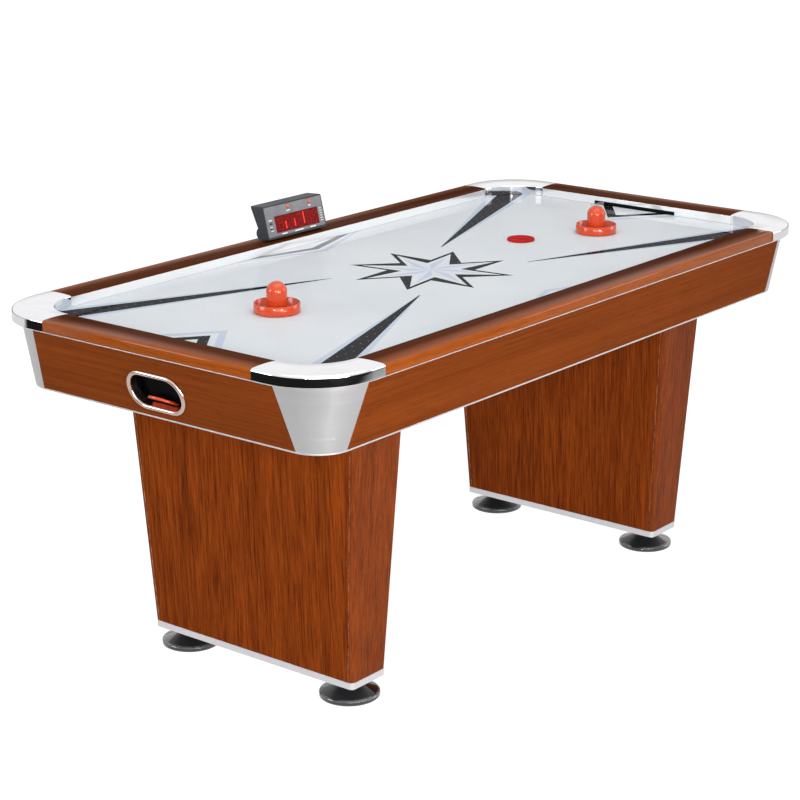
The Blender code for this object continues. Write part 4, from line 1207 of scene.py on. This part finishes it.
SEGMENTS = (
    (0, 1, False), (0, 0, False), (0, -1, False),
    (-1, 1, True), (1, 1, True), (-1, -1, True), (1, -1, True),
)
DIGIT_HALF_WIDE, DIGIT_HALF_TALL, DIGIT_V = 0.0062, 0.0148, 0.0315
UNLIT_LEVELS, LIT_LEVELS = (-0.00078, -0.00066), (-0.00078, -0.00058)
unlit = []
for u in (-0.0520, -0.0180, 0.0150, 0.0480, 0.0680):
    for across, upward, upright in SEGMENTS:
        rise = DIGIT_HALF_TALL / 2 if upright else DIGIT_HALF_TALL
        shape = bar_plate(0.0140 if upright else 0.0106, 0.0024, *UNLIT_LEVELS, True)
        at = (u + across * DIGIT_HALF_WIDE, DIGIT_V + upward * rise)
        unlit.append(put(shape, standing(*at, upright)))
lit = [
    put(bar_plate(length, 0.0030, *LIT_LEVELS, True), standing(u, v, True))
    for u, v, length in ((-0.0340, 0.0265, 0.021), (-0.0030, 0.0275, 0.021), (0.0300, 0.0335, 0.031))
]
body = "score_unit"
make_piece(gather(lit), "display_segments_lit", body, segment_lit, weighted=False)
make_piece(gather(unlit), "display_segments_unlit", body, segment_off, weighted=False)
print("display done")

# %% Printed marks on the face
PRINT_LEVELS = (-0.00018, -0.00010)
marks_white = [
    (-0.0187, 0.0585, 0.0130, 0.0022), (0.0570, 0.0585, 0.0090, 0.0022),
    (-0.0450, 0.0074, 0.0180, 0.0026), (0.0060, 0.0074, 0.0300, 0.0030),
    (0.0560, 0.0074, 0.0200, 0.0028), (-0.0860, 0.0440, 0.0120, 0.0020),
    (-0.0860, 0.0280, 0.0070, 0.0020), (-0.0845, 0.0190, 0.0100, 0.0018),
]
marks_white += [(0.0915, 0.0170 + 0.0058 * k, 0.0105 - 0.0012 * (k % 3), 0.0014) for k in range(6)]
marks_black = [
    (-0.0860, 0.0360, 0.0110, 0.0042), (-0.0875, 0.0235, 0.0060, 0.0030),
    (-0.0187, 0.0635, 0.0030, 0.0012),
]
for name, rows, finish in (("white", marks_white, print_white), ("black", marks_black, print_black)):
    plates = []
    for u, v, length, width in rows:
        plates.append(put(bar_plate(length, width, *PRINT_LEVELS, False), standing(u, v)))
    make_piece(gather(plates), f"score_marks_{name}", body, finish, weighted=False)
print(len(marks_white) + len(marks_black), "printed marks")

# %% [markdown]
# ## Screws
#
# Small countersunk screws hold the leg boards, two near each long edge. Only their heads show, so
# only heads are made. A head is a low disc with a cross sunk in it: the top is inset, divided
# from its middle, and every second pair of wedges is pushed down.


# %% Screws in the legs
def screw_head(radius=0.0029, height=0.0006):
    bm = bmesh.new()
    bmesh.ops.create_cone(
        bm, cap_ends=True, segments=16, radius1=radius, radius2=radius * 0.72, depth=height
    )
    top = max(bm.faces, key=lambda f: f.calc_center_median().z)
    bmesh.ops.inset_region(bm, faces=[top], thickness=radius * 0.12)
    wedges = bmesh.ops.poke(bm, faces=[top])["faces"]
    middles = {f: f.calc_center_median() for f in wedges}
    sunk = [f for f in wedges if math.degrees(math.atan2(middles[f].y, middles[f].x)) % 90 < 45]
    pushed = bmesh.ops.extrude_face_region(bm, geom=sunk)
    verts = [g for g in pushed["geom"] if isinstance(g, bmesh.types.BMVert)]
    bmesh.ops.translate(bm, verts=verts, vec=(0, 0, -height * 0.7))
    bmesh.ops.delete(bm, geom=sunk, context="FACES_ONLY")
    bmesh.ops.translate(bm, verts=bm.verts, vec=(0, 0, height / 2))
    return bm


LEG_LOW_Z, LEG_HIGH_Z = 0.0422, 0.6418
OUTER_FACE_X, INNER_FACE_X = (0.6289, 0.6546), (0.5211, 0.4960)
SCREW_PLACES = ((0.272, 0.089), (0.285, 0.330))


def leg_face_frame(sign, facing, y, z):
    """A frame on a leg's wide face, with its Z straight out of the board; facing is 1 outwards."""
    low_x, high_x = OUTER_FACE_X if facing > 0 else INNER_FACE_X
    slope = (high_x - low_x) / (LEG_HIGH_Z - LEG_LOW_Z)
    x = sign * (low_x + slope * (z - LEG_LOW_Z))
    out = Vector((facing * sign, 0, -slope * facing)).normalized()
    return Matrix.Translation((x, y, z)) @ out.to_track_quat("Z", "Y").to_matrix().to_4x4()


for side, sign in SIDES.items():
    heads = []
    for facing in (1, -1):
        for y, z in SCREW_PLACES:
            for sy in (-1, 1):
                heads.append(put(screw_head(), leg_face_frame(sign, facing, sy * y, z)))
    make_piece(gather(heads), f"{side}_leg_screws", "cabinet", screw_bronze, weighted=False)
print("screws done")

# %% [markdown]
# ## Power panel, blower and base board
#
# These sit behind and under the table, where only low and rear views reach. The switch panel, its
# rocker and its socket get softened copies, because a light catches their edges. The blower and
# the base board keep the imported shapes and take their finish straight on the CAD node's own
# material slot.

# %% Power panel
refine("power_panel", "power_panel_bezel", black_moulding, 0.0004, 2, 30.0)
refine("power_rocker", "power_rocker_cap", black_moulding, 0.0004, 2, 30.0)
refine("power_socket", "power_socket_jack", black_moulding, 0.0003, 2, 30.0)
print("power panel done")

# %% Blower and base board
for node, finish in {
    "bottom_panel": fibreboard,
    "blower_housing": black_moulding,
    "blower_motor": zinc_steel,
    "blower_impeller": black_moulding,
    "intake_guard": black_moulding,
}.items():
    for slot in frame["nodes"][node].material_slots:
        slot.material = finish
    print(node, "->", finish.name)

# %% [markdown]
# ## Floor, surroundings and light
#
# A pale studio: white walls far off, a pale floor, and large soft lights. Polished metal shows
# whatever surrounds it, so mirrors see surroundings that are bright above and darker low down,
# which gives the caps their white tops and dark sides.
#
# The floor is nearly white to the eye and a pale matt grey to the light that it bounces. In
# mirrors it is bright under the table and dark further off in front of it, as where a real studio
# floor runs out. Two small flashes beside the camera add the sharp glints.


# %% Surroundings
def mix_shaders(tree, share, first, second):
    made = add_node(tree, "MixShader")
    for socket, value in zip(made.inputs, (share, first, second)):
        tree.links.new(value, socket)
    return made.outputs[0]


def shade_with(tree, kind, colour, strength=None):
    """A plain shader node, such as a Background, an Emission or a BsdfDiffuse."""
    made = add_node(tree, kind)
    feed(tree, made.inputs["Color"], colour)
    if strength is not None:
        feed(tree, made.inputs["Strength"], strength)
    return made.outputs[0]


world = bpy.data.worlds.new("studio")
bpy.context.scene.world = world
world.use_nodes = True
tree = world.node_tree
tree.nodes.clear()
ray = add_node(tree, "LightPath").outputs
height = add_node(tree, "SeparateXYZ")
tree.links.new(add_node(tree, "TexCoord").outputs["Generated"], height.inputs[0])
sky = add_node(tree, "ValToRGB")
tree.links.new(spread(tree, height.outputs["Z"], -1.0, 1.0), sky.inputs[0])
ends = sky.color_ramp.elements
ends[0].position, ends[0].color = 0.0, (0.10, 0.10, 0.10, 1)
ends[1].position, ends[1].color = 1.0, (1.0, 1.0, 1.0, 1)
for position, value in ((0.50, 0.16), (0.54, 0.50), (0.61, 1.0), (0.78, 1.0)):
    ends.new(position).color = (value, value, value * 1.01, 1)
seen = shade_with(tree, "Background", (1.0, 1.0, 1.0, 1))
mirrored = shade_with(tree, "Background", sky.outputs[0])
soft = shade_with(tree, "Background", (0.97, 0.985, 1.0, 1), 0.55)
unseen = mix_shaders(tree, ray["Is Glossy Ray"], soft, mirrored)
whole = mix_shaders(tree, ray["Is Camera Ray"], unseen, seen)
tree.links.new(whole, add_node(tree, "OutputWorld").inputs[0])
print("surroundings set")

# %% Floor
FLOOR_R = 14.0
TOWARDS_CAMERA = (-0.79, -0.62, 0.0)
bm = bmesh.new()
bmesh.ops.create_circle(bm, cap_ends=True, segments=96, radius=FLOOR_R)
mesh = bpy.data.meshes.new("studio_floor")
bm.to_mesh(mesh)
bm.free()
floor = bpy.data.objects.new("studio_floor", mesh)
bpy.context.scene.collection.objects.link(floor)
floor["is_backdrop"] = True
floor_paint = bpy.data.materials.new("floor_paint")
floor_paint.use_nodes = True
tree = floor_paint.node_tree
tree.nodes.clear()
ray = add_node(tree, "LightPath").outputs
matt = shade_with(tree, "BsdfDiffuse", (0.30, 0.30, 0.305, 1))
lifted = shade_with(tree, "Emission", (1.0, 1.0, 1.0, 1), 0.90)
pale = add_node(tree, "AddShader")
tree.links.new(matt, pale.inputs[0])
tree.links.new(lifted, pale.inputs[1])
ground = add_node(tree, "TexCoord").outputs["Object"]
away = add_node(tree, "VectorMath", operation="LENGTH")
tree.links.new(ground, away.inputs[0])
nearer = add_node(tree, "VectorMath", operation="DOT_PRODUCT")
nearer.inputs[1].default_value = TOWARDS_CAMERA
tree.links.new(ground, nearer.inputs[0])
far_off = spread(tree, away.outputs["Value"], 2.0, 2.9)
in_front = spread(tree, nearer.outputs["Value"], -0.1, 0.4)
unlit_part = reckon(tree, "MULTIPLY", far_off, in_front)
mirrored = shade_with(tree, "Emission", (1.0, 1.0, 1.0, 1), spread(tree, unlit_part, 0.0, 1.0, 0.78, 0.012))
lighting = shade_with(tree, "BsdfDiffuse", (0.62, 0.62, 0.62, 1))
unseen = mix_shaders(tree, ray["Is Glossy Ray"], lighting, mirrored)
whole = mix_shaders(tree, ray["Is Camera Ray"], unseen, pale.outputs[0])
tree.links.new(whole, add_node(tree, "OutputMaterial").inputs[0])
mesh.materials.append(floor_paint)
print("floor radius", FLOOR_R, "m")

# %% Lights
SOFTBOXES = {
    "overhead_softbox": ((-0.3, -0.6, 3.3), (0.0, 0.0, 0.7), (3.4, 2.2), 36),
    "left_softbox": ((-3.4, 2.0, 1.5), (-0.9, 0.0, 0.7), (1.4, 1.4), 34),
    "right_softbox": ((4.2, -3.7, 1.5), (0.2, -0.4, 0.7), (2.2, 1.4), 36),
    "near_softbox": ((-4.8, -5.0, 1.5), (0.0, 0.0, 0.5), (4.5, 2.4), 125),
    "far_leg_softbox": ((-1.2, -3.0, 0.8), (0.6, 0.0, 0.35), (1.2, 0.7), 44),
    "left_flash": ((-5.4, -2.6, 1.9), (0.0, 0.0, 0.7), (0.30, 0.30), 60),
    "right_flash": ((-2.9, -5.0, 1.9), (0.0, 0.0, 0.7), (0.30, 0.30), 60),
}
for name, (place, target, size, power) in SOFTBOXES.items():
    lamp = bpy.data.lights.new(name, "AREA")
    lamp.shape = "RECTANGLE"
    lamp.size, lamp.size_y = size
    lamp.energy = power
    light = bpy.data.objects.new(name, lamp)
    bpy.context.scene.collection.objects.link(light)
    light.location = place
    light.rotation_euler = (Vector(target) - Vector(place)).to_track_quat("-Z", "Y").to_euler()
bpy.context.scene.view_settings.view_transform = "Standard"
print(len(SOFTBOXES), "lights")

# %% [markdown]
# ## Finish
#
# The looks should not outgrow the imported solids, so how far they reach past the imported box
# is measured and printed. Measuring it here catches a slip at once.

# %% Write the sizes and finish
own_low, own_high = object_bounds()
grown = [max(pair) for pair in zip(cad_low - own_low, own_high - cad_high)]
print("grown by", [round(side * 1000, 2) for side in grown], "mm")
